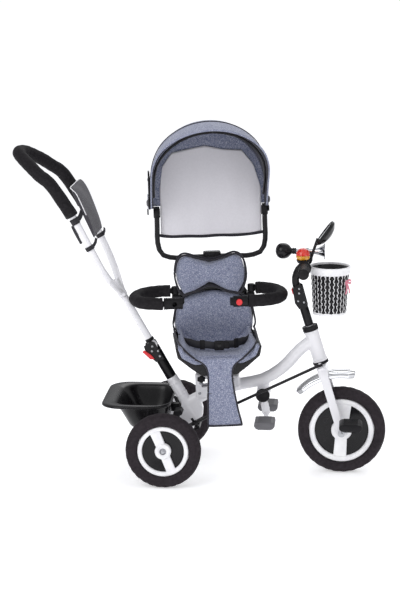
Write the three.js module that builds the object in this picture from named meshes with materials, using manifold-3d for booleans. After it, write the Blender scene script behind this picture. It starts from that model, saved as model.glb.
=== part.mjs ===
// A child's push-along tricycle with a swivelling seat, folding hood and steerable parent handle.
// Millimetres, +Z up, +X forward. Inside this file X is measured from the rear axle;
// the exported group is then shifted so that its bounding box is centred on the origin.
import * as THREE from 'three';
import { mergeVertices } from 'three/addons/utils/BufferGeometryUtils.js';
import Module from 'manifold-3d';

const wasm = await Module();
wasm.setup();

// ---- driving dimensions -------------------------------------------------
const GAP = 0.3; // clearance between touching pieces
const WHEELBASE = 503;
const FRONT_RADIUS = 127.5;
const REAR_RADIUS = 108;
const REAR_TRACK_HALF = 195; // centre plane of each rear tyre
const FRONT_TYRE_WIDTH = 44;
const REAR_TYRE_WIDTH = 42;
const WHEEL_FACETS = 32;
const STEERING_LEAN = THREE.MathUtils.degToRad(17.5);
const PUSH_LEAN = THREE.MathUtils.degToRad(30);
const PUSH_BASE = [4.9, 0, 275]; // top of the frame socket, on the push-tube axis
const SEAT_AXIS_X = 138.5;
const SEAT_PIVOT_Z = 288;
const SEAT_TURN = THREE.MathUtils.degToRad(8); // seat faces -Y, turned a little forward
const SEAT_LEAN = THREE.MathUtils.degToRad(1.5);
const BOX_CENTRE_X = 90; // middle of the whole length, from the rear axle
const AXLE_RADIUS = 6;
const TUBE_SIDES = 12;

// ---- materials ----------------------------------------------------------
const finish = (color, roughness, metalness = 0) =>
  new THREE.MeshStandardMaterial({ color, roughness, metalness });
const whitePaint = () => finish(0xe9e6ea, 0.35);
const blackPlastic = () => finish(0x1c1b1e, 0.55);
const blackPaint = () => finish(0x17171a, 0.35, 0.2);
const foam = () => finish(0x232124, 0.9);
const fabric = () => finish(0x8f96b0, 0.95);
const darkTrim = () => finish(0x25232c, 0.9);
const tyreFoam = () => finish(0x2f2b2f, 0.85);
const bareSteel = () => finish(0xb9babd, 0.3, 0.9);
const chrome = () => finish(0xd5d6d8, 0.12, 1);
const redPlastic = () => finish(0xd6303c, 0.4);
const greyPlastic = () => finish(0x77767a, 0.6);
const paleFabric = () => finish(0xe3e1e8, 0.9);

// ---- geometry helpers ---------------------------------------------------
const vec = ([x, y, z]) => new THREE.Vector3(x, y, z);
const mirrorY = ([x, y, z]) => [x, -y, z];

function toSolid(geometry) {
  const bare = geometry.index ? geometry.toNonIndexed() : geometry.clone();
  bare.deleteAttribute('normal');
  bare.deleteAttribute('uv');
  const merged = mergeVertices(bare, 1e-4);
  return new wasm.Manifold(new wasm.Mesh({
    numProp: 3,
    vertProperties: new Float32Array(merged.attributes.position.array),
    triVerts: new Uint32Array(merged.index.array),
  }));
}

function toGeometry(solid) {
  const mesh = solid.getMesh();
  const geometry = new THREE.BufferGeometry();
  geometry.setAttribute('position', new THREE.BufferAttribute(new Float32Array(mesh.vertProperties), 3));
  geometry.setIndex(new THREE.BufferAttribute(new Uint32Array(mesh.triVerts), 1));
  geometry.computeVertexNormals();
  return geometry;
}

const join = (...geometries) => toGeometry(geometries.map(toSolid).reduce((sum, next) => sum.add(next)));
const cut = (base, ...tools) =>
  toGeometry(tools.map(toSolid).reduce((left, tool) => left.subtract(tool), toSolid(base)));
const common = (first, second) => toGeometry(toSolid(first).intersect(toSolid(second)));

// Round bar between two points, or a cone when the end radii differ.
function bar(from, to, radius, endRadius = radius, sides = TUBE_SIDES) {
  const start = vec(from);
  const end = vec(to);
  const along = end.clone().sub(start);
  const geometry = new THREE.CylinderGeometry(endRadius, radius, along.length(), sides);
  const turn = new THREE.Quaternion().setFromUnitVectors(new THREE.Vector3(0, 1, 0), along.clone().normalize());
  geometry.applyQuaternion(turn);
  const middle = start.add(end).multiplyScalar(0.5);
  return geometry.translate(middle.x, middle.y, middle.z);
}

const box = (x0, x1, y0, y1, z0, z1) =>
  new THREE.BoxGeometry(x1 - x0, y1 - y0, z1 - z0).translate((x0 + x1) / 2, (y0 + y1) / 2, (z0 + z1) / 2);

// Round tube bent along a smooth curve through the points.
function bentTube(points, radius, steps, sides = TUBE_SIDES) {
  const path = new THREE.CatmullRomCurve3(points.map(vec), false, 'centripetal');
  const section = new THREE.Shape();
  section.absarc(0, 0, radius, 0, 2 * Math.PI);
  return new THREE.ExtrudeGeometry(section, { extrudePath: path, steps, curveSegments: sides / 2 });
}

const outline = (points) => new THREE.Shape(points.map(([a, b]) => new THREE.Vector2(a, b)));

// Plate whose outline lies in XZ, thick from y0 to y1.
const plateXZ = (points, y0, y1) =>
  new THREE.ExtrudeGeometry(outline(points), { depth: y1 - y0, bevelEnabled: false })
    .rotateX(Math.PI / 2).translate(0, y1, 0);

// Plate whose outline lies in YZ, thick from x0 to x1.
const plateYZ = (points, x0, x1) =>
  new THREE.ExtrudeGeometry(outline(points), { depth: x1 - x0, bevelEnabled: false })
    .rotateY(Math.PI / 2).rotateX(Math.PI / 2).translate(x0, 0, 0);

// Plate whose outline lies in XY, thick from z0 to z1.
const plateXY = (points, z0, z1) =>
  new THREE.ExtrudeGeometry(outline(points), { depth: z1 - z0, bevelEnabled: false }).translate(0, 0, z0);

// Turned piece about the Z axis from [radius, height] points; a ring profile closes on itself.
function turned(profile, segments = 32) {
  const points = profile.map(([r, z]) => new THREE.Vector2(r, z));
  return new THREE.LatheGeometry(points, segments).rotateX(Math.PI / 2);
}

const ring = (inner, outer, z0, z1, segments = 32) =>
  turned([[inner, z0], [outer, z0], [outer, z1], [inner, z1], [inner, z0]], segments);

// Turned piece whose axis is the wheel axle: heights run along +Y, a facet faces straight down.
function aboutAxle(profile, segments = WHEEL_FACETS) {
  return turned(profile, segments).rotateZ(Math.PI / segments).rotateX(-Math.PI / 2);
}
const axleRing = (inner, outer, y0, y1, segments = WHEEL_FACETS) =>
  aboutAxle([[inner, y0], [outer, y0], [outer, y1], [inner, y1], [inner, y0]], segments);
const axleDisc = (radius, y0, y1, segments = WHEEL_FACETS) =>
  aboutAxle([[0, y0], [radius, y0], [radius, y1], [0, y1]], segments);

// ---- scene groups -------------------------------------------------------
const tricycle = new THREE.Group();
tricycle.position.x = -BOX_CENTRE_X;

const steeringGroup = new THREE.Group(); // local Z runs up the steering axis from the front axle
steeringGroup.position.set(WHEELBASE, 0, FRONT_RADIUS);
steeringGroup.rotation.y = -STEERING_LEAN;

const frontWheelGroup = new THREE.Group();
frontWheelGroup.position.set(WHEELBASE, 0, FRONT_RADIUS);

const pushGroup = new THREE.Group(); // local Z runs up the push tube from the frame socket
pushGroup.position.set(...PUSH_BASE);
pushGroup.rotation.y = -PUSH_LEAN;

const seatLeanGroup = new THREE.Group(); // the swivel axis leans back a little
seatLeanGroup.position.set(SEAT_AXIS_X, 0, SEAT_PIVOT_Z);
seatLeanGroup.rotation.y = -SEAT_LEAN;
const seatGroup = new THREE.Group(); // local -Y is the way the seat faces
seatGroup.rotation.z = SEAT_TURN;
seatLeanGroup.add(seatGroup);

tricycle.add(steeringGroup, frontWheelGroup, pushGroup, seatLeanGroup);

function add(group, name, geometry, material) {
  const mesh = new THREE.Mesh(geometry, material);
  mesh.name = name;
  group.add(mesh);
  return mesh;
}

// ---- wheels -------------------------------------------------------------
function tyre(radius, rimRadius, width) {
  const half = width / 2;
  const shoulder = 9;
  const corner = radius / Math.cos(Math.PI / WHEEL_FACETS); // facets touch the true radius
  const inner = (rimRadius + GAP) / Math.cos(Math.PI / WHEEL_FACETS);
  return aboutAxle([
    [inner, -half + 4], [inner + 7, -half], [corner - shoulder, -half], [corner, -half + shoulder],
    [corner, half - shoulder], [corner - shoulder, half], [inner + 7, half], [inner, half - 4],
    [inner, -half + 4],
  ]);
}

// Rim with a flat infill disc, a proud hub and one bar across it.
function rim(radius, bandWidth, width, hubRadius, barHalf, barTilt) {
  const half = width / 2;
  const inside = radius - bandWidth;
  const infillHalf = 5;
  const across = box(-barHalf, barHalf, -half + 2, half - 2, -inside - 2, inside + 2).rotateY(barTilt);
  return cut(
    join(
      axleRing(inside, radius, -half, half),
      axleDisc(inside + 1, -infillHalf, infillHalf),
      axleDisc(hubRadius, -half - 1, half + 1, 16),
      across,
    ),
    bar([0, -width, 0], [0, width, 0], AXLE_RADIUS + GAP),
  );
}

function frontWheel() {
  add(frontWheelGroup, 'front_tyre', tyre(FRONT_RADIUS, 94, FRONT_TYRE_WIDTH), tyreFoam());
  add(frontWheelGroup, 'front_rim', rim(94, 16, 34, 30, 20, 0.05), whitePaint());
}

function rearWheels() {
  for (const [side, sign] of [['right', -1], ['left', 1]]) {
    const tyreMesh = add(tricycle, `rear_tyre_${side}`, tyre(REAR_RADIUS, 73, REAR_TYRE_WIDTH), tyreFoam());
    const rimMesh = add(tricycle, `rear_rim_${side}`, rim(73, 13, 34, 23, 13.5, -0.39), whitePaint());
    for (const mesh of [tyreMesh, rimMesh]) mesh.position.set(0, sign * REAR_TRACK_HALF, REAR_RADIUS);
  }
}

// Cranks half a turn apart, with a pedal turning on each crank pin.
const CRANK_LENGTH = 45;
const CRANK_ANGLE = THREE.MathUtils.degToRad(54); // near crank above horizontal, forward
const CRANK_PLANE = 49; // inner face of each crank arm
const PEDAL_INNER = 57;
const PEDAL_OUTER = 127;

function crankArm(sign) {
  const [x, z] = [CRANK_LENGTH * Math.cos(CRANK_ANGLE) * -sign, CRANK_LENGTH * Math.sin(CRANK_ANGLE) * -sign];
  const y0 = sign * CRANK_PLANE;
  const y1 = sign * (CRANK_PLANE + 7);
  return join(
    bar([0, y0, 0], [0, y1, 0], 10),
    bar([x, y0, z], [x, y1, z], 8),
    plateXZ(armOutline(x, z, 7), Math.min(y0, y1), Math.max(y0, y1)),
    bar([x, y0, z], [x, sign * (PEDAL_OUTER - 8), z], 4),
  );
}

// Four-sided outline of a link of the given half width from the origin to (x, z).
function armOutline(x, z, half) {
  const length = Math.hypot(x, z);
  const [nx, nz] = [(-z / length) * half, (x / length) * half];
  return [[nx, nz], [-nx, -nz], [x - nx, z - nz], [x + nx, z + nz]];
}

function pedal(sign) {
  const [y0, y1] = [Math.min(sign * PEDAL_INNER, sign * PEDAL_OUTER), Math.max(sign * PEDAL_INNER, sign * PEDAL_OUTER)];
  const side = [[-34, -4], [-27, -12], [27, -12], [34, -4], [34, 5], [27, 12], [-27, 12], [-34, 5]];
  return cut(plateXZ(side, y0, y1), bar([0, sign * 40, 0], [0, sign * (PEDAL_OUTER - 7), 0], 4 + GAP));
}

function cranksAndPedals() {
  const axle = bar([0, -CRANK_PLANE - 5, 0], [0, CRANK_PLANE + 5, 0], AXLE_RADIUS);
  add(frontWheelGroup, 'crank_axle', join(axle, crankArm(-1), crankArm(1)), bareSteel());
  for (const [side, sign] of [['right', -1], ['left', 1]]) {
    const mesh = add(frontWheelGroup, `pedal_${side}`, pedal(sign), greyPlastic());
    mesh.position.set(-sign * CRANK_LENGTH * Math.cos(CRANK_ANGLE), 0, -sign * CRANK_LENGTH * Math.sin(CRANK_ANGLE));
  }
}

// ---- main frame ---------------------------------------------------------
const HEAD_BOTTOM = 215; // along the steering axis from the front axle
const HEAD_TOP = 308;
const STEERER_RADIUS = 11;
const SHAFT_RADIUS = 12; // push-handle shaft inside the frame socket
const SOCKET_DEPTH = 146;

const onSteeringAxis = (distance, y = 0, ahead = 0) => [
  WHEELBASE - distance * Math.sin(STEERING_LEAN) + ahead * Math.cos(STEERING_LEAN),
  y,
  FRONT_RADIUS + distance * Math.cos(STEERING_LEAN) + ahead * Math.sin(STEERING_LEAN),
];
const onPushAxis = (distance, y = 0, ahead = 0) => [
  PUSH_BASE[0] - distance * Math.sin(PUSH_LEAN) + ahead * Math.cos(PUSH_LEAN),
  y,
  PUSH_BASE[2] + distance * Math.cos(PUSH_LEAN) + ahead * Math.sin(PUSH_LEAN),
];

function mainFrame() {
  const mainTube = bentTube(
    [[50, 0, 192], [84, 0, 215], [140, 0, 238], [210, 0, 258], [275, 0, 274], [333, 0, 312], [377, 0, 362], [408, 0, 388]],
    18, 14);
  const headTube = bar(onSteeringAxis(HEAD_BOTTOM), onSteeringAxis(HEAD_TOP), 21, 21, 16);
  const socketTube = bar(onPushAxis(-SOCKET_DEPTH), onPushAxis(0), 17, 17, 16);
  const gusset = plateXZ(
    [[38, 212], [25, 150], [2, 124], [-12, 112], [-10, 100], [0, 95], [26, 98], [54, 135], [97, 160], [98, 184], [90, 208]],
    -15, 15);
  const axleHousing = bar([0, -168, REAR_RADIUS], [0, 168, REAR_RADIUS], 13);
  const seatBracket = plateXZ(
    [[75.5, SEAT_PIVOT_Z - GAP], [79, 222], [100, 216], [206, 254], [203, SEAT_PIVOT_Z - GAP]], -24, 24);
  const bracketWindow = plateXZ([[96, 275], [96, 250], [180, 268], [180, 275]], -30, 30);
  const bracketInside = box(88, 192, -19, 19, 225, 276);
  const footrestLug = plateXZ([[260, 262], [258, 231], [263, 219], [284, 219], [289, 231], [292, 268]], -10, 10);
  return cut(
    join(
      cut(seatBracket, bracketWindow, bracketInside), mainTube, headTube, socketTube, gusset, axleHousing, footrestLug,
    ),
    bar(onSteeringAxis(HEAD_BOTTOM - 5), onSteeringAxis(HEAD_TOP + 5), STEERER_RADIUS + 2, STEERER_RADIUS + 2, 16),
    bar(onPushAxis(-SOCKET_DEPTH - 5), onPushAxis(5), SHAFT_RADIUS + GAP, SHAFT_RADIUS + GAP, 16),
    bar([0, -200, REAR_RADIUS], [0, 200, REAR_RADIUS], AXLE_RADIUS + GAP),
    bar([FOOTREST_PIVOT[0], -20, FOOTREST_PIVOT[1]], [FOOTREST_PIVOT[0], 20, FOOTREST_PIVOT[1]], 5 + GAP),
  );
}

function frameFittings() {
  const cup = (from, to) =>
    cut(bar([0, 0, from], [0, 0, to], 23, 23, 20), bar([0, 0, from - 1], [0, 0, to + 1], STEERER_RADIUS + 1));
  add(steeringGroup, 'headset_lower_cup', cup(HEAD_BOTTOM - 9, HEAD_BOTTOM - GAP), blackPlastic());
  add(steeringGroup, 'headset_upper_cup', cup(HEAD_TOP + GAP, HEAD_TOP + 15), blackPlastic());
  add(tricycle, 'rear_axle', bar([0, -213, REAR_RADIUS], [0, 213, REAR_RADIUS], AXLE_RADIUS), bareSteel());
  const base = turned([[0, 1.8], [52, 1.8], [52, 10], [46, 13.7], [0, 13.7]], 36);
  add(seatLeanGroup, 'swivel_base', base, blackPlastic());
  const knob = join(bar([95, -40, 277], [95, -24 - GAP, 277], 9), bar([84, -34, 277], [106, -34, 277], 7));
  add(tricycle, 'seat_release_knob', knob, blackPlastic());
}

// ---- rear basket and brake ----------------------------------------------
const BASKET_TOP = 222;
const BASKET_FLOOR = 140;

// Rounded rectangle as points, anticlockwise.
function roundedRect(x0, x1, y0, y1, radius, perCorner = 5) {
  const corners = [[x1 - radius, y1 - radius, 0], [x0 + radius, y1 - radius, 1], [x0 + radius, y0 + radius, 2], [x1 - radius, y0 + radius, 3]];
  return corners.flatMap(([cx, cy, quarter]) =>
    Array.from({ length: perCorner + 1 }, (_, i) => {
      const angle = (quarter + i / perCorner) * Math.PI / 2;
      return [cx + radius * Math.cos(angle), cy + radius * Math.sin(angle)];
    }));
}

// Solid lofted through outlines of equal point count, each at its own height.
function loft(layers) {
  const count = layers[0].points.length;
  const position = layers.flatMap(({ points, z }) => points.flatMap(([x, y]) => [x, y, z]));
  const index = [];
  for (let layer = 0; layer + 1 < layers.length; layer++) {
    for (let i = 0; i < count; i++) {
      const a = layer * count + i;
      const b = layer * count + ((i + 1) % count);
      index.push(a, b, b + count, a, b + count, a + count);
    }
  }
  const last = (layers.length - 1) * count;
  for (let i = 1; i + 1 < count; i++) {
    index.push(0, i + 1, i, last, last + i, last + i + 1);
  }
  const geometry = new THREE.BufferGeometry();
  geometry.setAttribute('position', new THREE.BufferAttribute(new Float32Array(position), 3));
  geometry.setIndex(index);
  return geometry;
}

function rearBasket() {
  const shape = (inset, z) => {
    const down = (BASKET_TOP - z) / (BASKET_TOP - BASKET_FLOOR);
    const x0 = -150 + inset + 38 * down;
    const x1 = 8 - inset - 12 * down;
    const y1 = 118 - inset - 22 * down;
    return { points: roundedRect(x0, x1, -y1, y1, 48 - inset), z };
  };
  const wall = 3;
  const tub = loft([shape(0, BASKET_FLOOR), shape(0, BASKET_TOP)]);
  const hollow = loft([shape(wall, BASKET_FLOOR + wall), shape(wall, BASKET_TOP + 5)]);
  const lip = plateXY(roundedRect(-190, 12, -146, 146, 60), BASKET_TOP - 12, BASKET_TOP);
  const hook = box(4, 29, -12, 12, 172, 196); // rests against the frame gusset
  add(tricycle, 'rear_basket', cut(join(tub, lip, hook), hollow), blackPlastic());
}

function brakePedal() {
  const arm = plateXZ([[-16, 122], [16, 122], [40, 186], [20, 186]], -76, -62);
  const eye = bar([0, -76, REAR_RADIUS], [0, -62, REAR_RADIUS], 21, 21, 20);
  const pad = plateXZ([[17, 183], [42, 183], [46, 190], [40, 199], [20, 195]], -92, -50);
  const bore = bar([0, -80, REAR_RADIUS], [0, -58, REAR_RADIUS], 13 + GAP, 13 + GAP, 16);
  add(tricycle, 'brake_pedal', cut(join(eye, arm, pad), bore), blackPlastic());
}

// ---- fold-out footrest --------------------------------------------------
const FOOTREST_PIVOT = [273.5, 231];

function footrest() {
  const [px, pz] = FOOTREST_PIVOT;
  const foot = [px + 10, pz - 62];
  const cheek = (sign) => bar([px, sign * (10 + GAP), pz], [px, sign * 28, pz], 20.5, 20.5, 20);
  const legs = [-1, 1].map((sign) => bar([px, sign * 21, pz], [foot[0], sign * 10, foot[1]], 8));
  const stem = bar([px + 4, 0, pz - 30], [foot[0], 0, foot[1]], 12);
  const crossbar = bar([foot[0], -130, foot[1]], [foot[0], 130, foot[1]], 7);
  const pin = bar([px, -27, pz], [px, 27, pz], 5);
  add(tricycle, 'footrest_arm', join(cheek(-1), cheek(1), ...legs, stem, crossbar, pin), whitePaint());
  const side = [[-24, -12], [24, -12], [31, -2], [29, 11], [-29, 11], [-31, -2]];
  for (const [name, sign] of [['right', -1], ['left', 1]]) {
    const [y0, y1] = sign > 0 ? [64, 136] : [-136, -64];
    const peg = cut(plateXZ(side, y0, y1), bar([0, -131, 0], [0, 131, 0], 7 + GAP));
    const mesh = add(tricycle, `foot_peg_${name}`, peg, greyPlastic());
    mesh.position.set(foot[0], 0, foot[1]);
  }
}

// ---- fork, mudguard, stem -----------------------------------------------
const BLADE_INNER = 36;
const BLADE_OUTER = 44;
const CROWN_BOTTOM = 176;
const CROWN_TOP = HEAD_BOTTOM - 9 - GAP;
const CRANK_REACH = 54; // sideways reach of the steering crank pins
const STEM_TOP = 402;

function fork() {
  const blade = (sign) => {
    const [y0, y1] = [Math.min(sign * BLADE_INNER, sign * BLADE_OUTER), Math.max(sign * BLADE_INNER, sign * BLADE_OUTER)];
    return join(
      plateXZ([[-12, 0], [12, 0], [12, CROWN_BOTTOM + 6], [-12, CROWN_BOTTOM + 6]], y0, y1),
      bar([0, y0, 0], [0, y1, 0], 14, 14, 20),
    );
  };
  const crown = box(-14, 14, -BLADE_OUTER, BLADE_OUTER, CROWN_BOTTOM, CROWN_TOP);
  const lever = box(-9, 9, -CRANK_REACH - 9, -BLADE_OUTER + 2, CROWN_TOP - 8, CROWN_TOP);
  const leverPin = bar([0, -CRANK_REACH, CROWN_TOP - 4], [0, -CRANK_REACH, CROWN_TOP + 14], 4);
  const steerer = bar([0, 0, CROWN_BOTTOM + 5], [0, 0, HEAD_TOP + 16], STEERER_RADIUS);
  const bores = bar([0, -50, 0], [0, 50, 0], AXLE_RADIUS + GAP);
  add(steeringGroup, 'fork', cut(join(blade(-1), blade(1), crown, lever, leverPin, steerer), bores), whitePaint());
}

function mudguard() {
  const outer = CROWN_BOTTOM - GAP;
  const [front, rear] = [60, 122].map(THREE.MathUtils.degToRad);
  const arc = (radius, from, to, steps = 14) => Array.from({ length: steps + 1 }, (_, i) => {
    const angle = from + (to - from) * (i / steps);
    return [radius * Math.cos(angle), radius * Math.sin(angle)];
  });
  const sector = (r0, r1, y0, y1) => plateXZ([...arc(r1, front, rear), ...arc(r0, rear, front)], y0, y1);
  const blade = join(
    sector(outer - 2.5, outer, -31, 31),
    sector(outer - 16, outer, -31, -28.5),
    sector(outer - 16, outer, 28.5, 31),
  );
  add(steeringGroup, 'mudguard', blade, chrome());
}

// The rod carries the parent handle's turn to the fork. Its rear eye has clearance.
function steeringRod() {
  const front = onSteeringAxis(CROWN_TOP + 8, -CRANK_REACH);
  const rear = onPushAxis(-SOCKET_DEPTH + 3, -CRANK_REACH);
  const eye = (at, lean, radius, thick) => bar([0, 0, -thick / 2], [0, 0, thick / 2], radius)
    .rotateY(-lean).translate(...at);
  const hole = (at, lean, radius) => eye(at, lean, radius, 60);
  const rod = cut(
    join(bar(front, rear, 4.5), eye(front, STEERING_LEAN, 8, 8), eye(rear, PUSH_LEAN, 14, 8)),
    hole(front, STEERING_LEAN, 4 + GAP),
    hole(rear, PUSH_LEAN, 4 + 5),
  );
  add(tricycle, 'steering_rod', rod, blackPaint());
}

const STEM_PIVOT = 425;

function stem() {
  add(steeringGroup, 'stem_tube', bar([0, 0, HEAD_TOP + 17], [0, 0, STEM_TOP], 13, 13, 16), blackPaint());
  const cheek = (y0, y1) => plateXZ([[-13, 380], [13, 380], [15, 442], [8, 450], [-14, 444], [-20, 400]], y0, y1);
  const pin = bar([0, -18, STEM_PIVOT], [0, 18, STEM_PIVOT], 3.5);
  add(steeringGroup, 'stem_clamp', join(cheek(-17, -13.4), cheek(13.4, 17), pin), blackPaint());
  const lever = plateXZ([[-19, 426], [-15, 426], [-15, 446], [-19, 440]], -10, 10);
  add(steeringGroup, 'stem_lever', lever, redPlastic());
}

// ---- handlebar and what it carries --------------------------------------
const BAR_X = 391;
const BAR_Z = 617;

function handlebar() {
  const pivot = onSteeringAxis(STEM_PIVOT);
  const riser = bentTube([[pivot[0] + 1, 0, pivot[2] - 6], [367, 0, 552], [364, 0, 575], [374, 0, 602], [BAR_X, 0, BAR_Z]], 11, 8);
  const knuckle = bar([pivot[0], -12.5, pivot[2]], [pivot[0], 12.5, pivot[2]], 13, 13, 16);
  const crossbar = bar([BAR_X, -160, BAR_Z], [BAR_X, 160, BAR_Z], 11);
  const bore = bar([pivot[0], -20, pivot[2]], [pivot[0], 20, pivot[2]], 3.5 + GAP);
  add(tricycle, 'handlebar', cut(join(riser, knuckle, crossbar), bore), blackPaint());
  for (const [name, sign] of [['right', -1], ['left', 1]]) {
    const sleeve = join(
      bar([BAR_X, sign * 68, BAR_Z], [BAR_X, sign * 167, BAR_Z], 16, 16, 16),
      bar([BAR_X, sign * 68, BAR_Z], [BAR_X, sign * 73, BAR_Z], 20, 20, 20),
    );
    const grip = cut(sleeve, bar([BAR_X, sign * 60, BAR_Z], [BAR_X, sign * (160 + GAP), BAR_Z], 11 + GAP));
    add(tricycle, `grip_${name}`, grip, blackPlastic());
  }
}

function horn() {
  const [y, z] = [46, 645];
  const alongX = (profile) => turned(profile, 16).rotateY(Math.PI / 2).translate(0, y, z);
  const bulb = alongX([[0, 304], [9, 306], [17, 311], [22, 319], [23, 327], [21, 337], [14, 346], [8, 352], [8, 364], [0, 364]]);
  add(tricycle, 'horn_bulb', bulb, blackPlastic());
  const trumpet = alongX([[0, 364 + GAP], [6, 364 + GAP], [6, 400], [9, 424], [15, 438], [24.5, 447], [22.5, 447], [13, 438], [7, 425], [0, 418]]);
  const post = bar([BAR_X, y, BAR_Z + 11 + GAP], [BAR_X, y, z - 3], 6);
  add(tricycle, 'horn_trumpet', join(trumpet, post), chrome());
}

function light() {
  const [x, y] = [386, -46];
  const base = turned([[0, 628 + GAP], [15, 628 + GAP], [18, 634], [19, 638], [0, 638]], 20).translate(x, y, 0);
  const dome = turned([
    [0, 638 + GAP], [17, 638 + GAP], [19.6, 645], [20, 651], [18.8, 658], [15.3, 664], [9.3, 669], [0, 671],
  ], 20).translate(x, y, 0);
  add(tricycle, 'light_base', base, blackPlastic());
  add(tricycle, 'light_dome', dome, finish(0xe03a26, 0.2));
}

const MIRROR_CENTRE = [445, -22, 712];
const MIRROR_TILT = THREE.MathUtils.degToRad(-54);

function mirror() {
  const shell = turned([[0, 0], [39, 0], [41, 2], [41, 6], [38, 9], [26, 17], [12, 21], [0, 22]], 20)
    .rotateY(MIRROR_TILT + Math.PI).translate(...MIRROR_CENTRE);
  const arm = bentTube([[399, -18, 627], [407, -18, 634], [413, -19, 652], [427, -22, 695]], 4.5, 8, 8);
  add(tricycle, 'mirror', join(shell, arm), blackPlastic());
}

const FRONT_BASKET_X = 463;

function frontBasket() {
  const [top, floor] = [613, 472];
  const wall = turned([
    [0, floor], [47, floor], [55.5, top - 8], [53, top - 8], [44.5, floor + 3], [0, floor + 3],
  ], 32).translate(FRONT_BASKET_X, 0, 0);
  add(tricycle, 'front_basket', wall, blackPlastic());
  const band = ring(56.2, 59, top - 22, top).translate(FRONT_BASKET_X, 0, 0);
  const hooks = [-24, 24].map((y) => box(BAR_X + 11 + GAP, FRONT_BASKET_X - 50, y - 6, y + 6, top - 12, top - 4));
  const clear = bar([FRONT_BASKET_X, 0, top - 40], [FRONT_BASKET_X, 0, top + 5], 56.2, 56.2, 32);
  add(tricycle, 'front_basket_rim', cut(join(band, ...hooks), clear), whitePaint());
  const bow = plateXZ([[55, 574], [63, 578], [69, 566], [65, 536], [59, 536]], -14, 14)
    .rotateZ(-0.6).translate(FRONT_BASKET_X, 0, 0);
  add(tricycle, 'ribbon_bow', bow, finish(0xe58aa4, 0.7));
}

// ---- parent push handle -------------------------------------------------
const PUSH_PIVOT = 108;

function pushShaft() {
  const crankTop = -SOCKET_DEPTH - 9;
  const shaft = join(
    bar([0, 0, crankTop - 5], [0, 0, 1], SHAFT_RADIUS),
    bar([0, 0, GAP], [0, 0, 88], 15.5, 15.5, 16),
    box(-9, 9, -CRANK_REACH - 9, 9, crankTop - 8, crankTop),
    bar([0, -CRANK_REACH, crankTop - 4], [0, -CRANK_REACH, crankTop + 28], 4),
  );
  add(pushGroup, 'push_shaft', shaft, blackPaint());
  const cheek = (y0, y1) => plateXZ([[-14, 62], [12, 58], [12, 116], [4, 124], [-22, 120], [-26, 100]], y0, y1);
  const pin = bar([0, -19, PUSH_PIVOT], [0, 19, PUSH_PIVOT], 3.5);
  add(pushGroup, 'push_clamp', join(cheek(-19.5, -16), cheek(16, 19.5), pin), blackPaint());
  const lever = plateXZ([[-23, 78], [-12, 72], [-15, 88], [-26, 110], [-33, 108]], -25, -19.5 - GAP);
  add(pushGroup, 'push_lever', lever, redPlastic());
}

const HANDLE_HALF = [
  [0, 10, 290], [1, 60, 332], [2, 92, 365], [8, 110, 450], [12, 115, 558], [5, 116, 662],
  [-12, 108, 705], [-27, 84, 742], [-43, 46, 775],
];
const HANDLE_PATH = [...HANDLE_HALF.map(mirrorY), [-50, 0, 786], ...HANDLE_HALF.toReversed()];
const HANDLE_STEPS = 28;

function pushHandle() {
  const lower = bar([0, 0, PUSH_PIVOT - 11], [0, 0, 300], 11);
  const throat = plateXZ([[-10, 276], [10, 276], [10, 330], [-10, 330]], -19, 19);
  const loop = bentTube(HANDLE_PATH, 11, HANDLE_STEPS, 8);
  const knuckle = bar([0, -15.5, PUSH_PIVOT], [0, 15.5, PUSH_PIVOT], 12, 12, 16);
  const bore = bar([0, -20, PUSH_PIVOT], [0, 20, PUSH_PIVOT], 3.5 + GAP);
  add(pushGroup, 'push_tube', cut(join(lower, throat, loop, knuckle), bore), whitePaint());
}

// Foam sleeve over the bend of the handle, from one collar round to the other.
function pushGrip() {
  const collar = [11.7, 115, 566];
  const covered = [mirrorY(collar), ...HANDLE_PATH.slice(5, -5), collar];
  const core = bentTube(HANDLE_PATH, 11 + GAP + 0.8, HANDLE_STEPS, 8);
  const sleeve = cut(bentTube(covered, 19, 20, 10), core);
  add(pushGroup, 'push_grip', sleeve, foam());
}

function pouch() {
  const side = [[24, 470], [30, 464], [54, 560], [64, 625], [52, 630], [38, 560]];
  add(pushGroup, 'handle_pouch', plateXZ(side, -90, 90), finish(0x4c4a50, 0.9));
}

// ---- seat ---------------------------------------------------------------
function seatShell() {
  const bowl = plateXZ([
    [-50, 20], [50, 20], [80, 42], [118, 74], [124, 104], [113, 104], [108, 82], [70, 58],
    [-70, 58], [-108, 82], [-113, 104], [-124, 104], [-118, 74], [-80, 42],
  ], -112, 100);
  const foot = bar([0, 0, 14], [0, 0, 26], 48, 48, 28);
  const back = plateXZ([
    [-70, 40], [70, 40], [112, 90], [118, 150], [106, 215], [76, 262], [66, 314], [-66, 314],
    [-76, 262], [-106, 215], [-118, 150], [-112, 90],
  ], 99, 112);
  const ears = [-1, 1].map((sign) => box(sign > 0 ? 94 : -122, sign > 0 ? 122 : -94, 80, 104, 196, 220));
  const clamp = box(-26, 26, 99, 125, 308, 342); // holds the canopy tube above the seat back
  const clampBore = bar([-30, CANOPY_Y, 326], [30, CANOPY_Y, 326], 8 + GAP, 8 + GAP, 8);
  add(seatGroup, 'seat_shell', cut(join(bowl, foot, back, clamp, ...ears), clampBore), blackPlastic());
}

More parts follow.
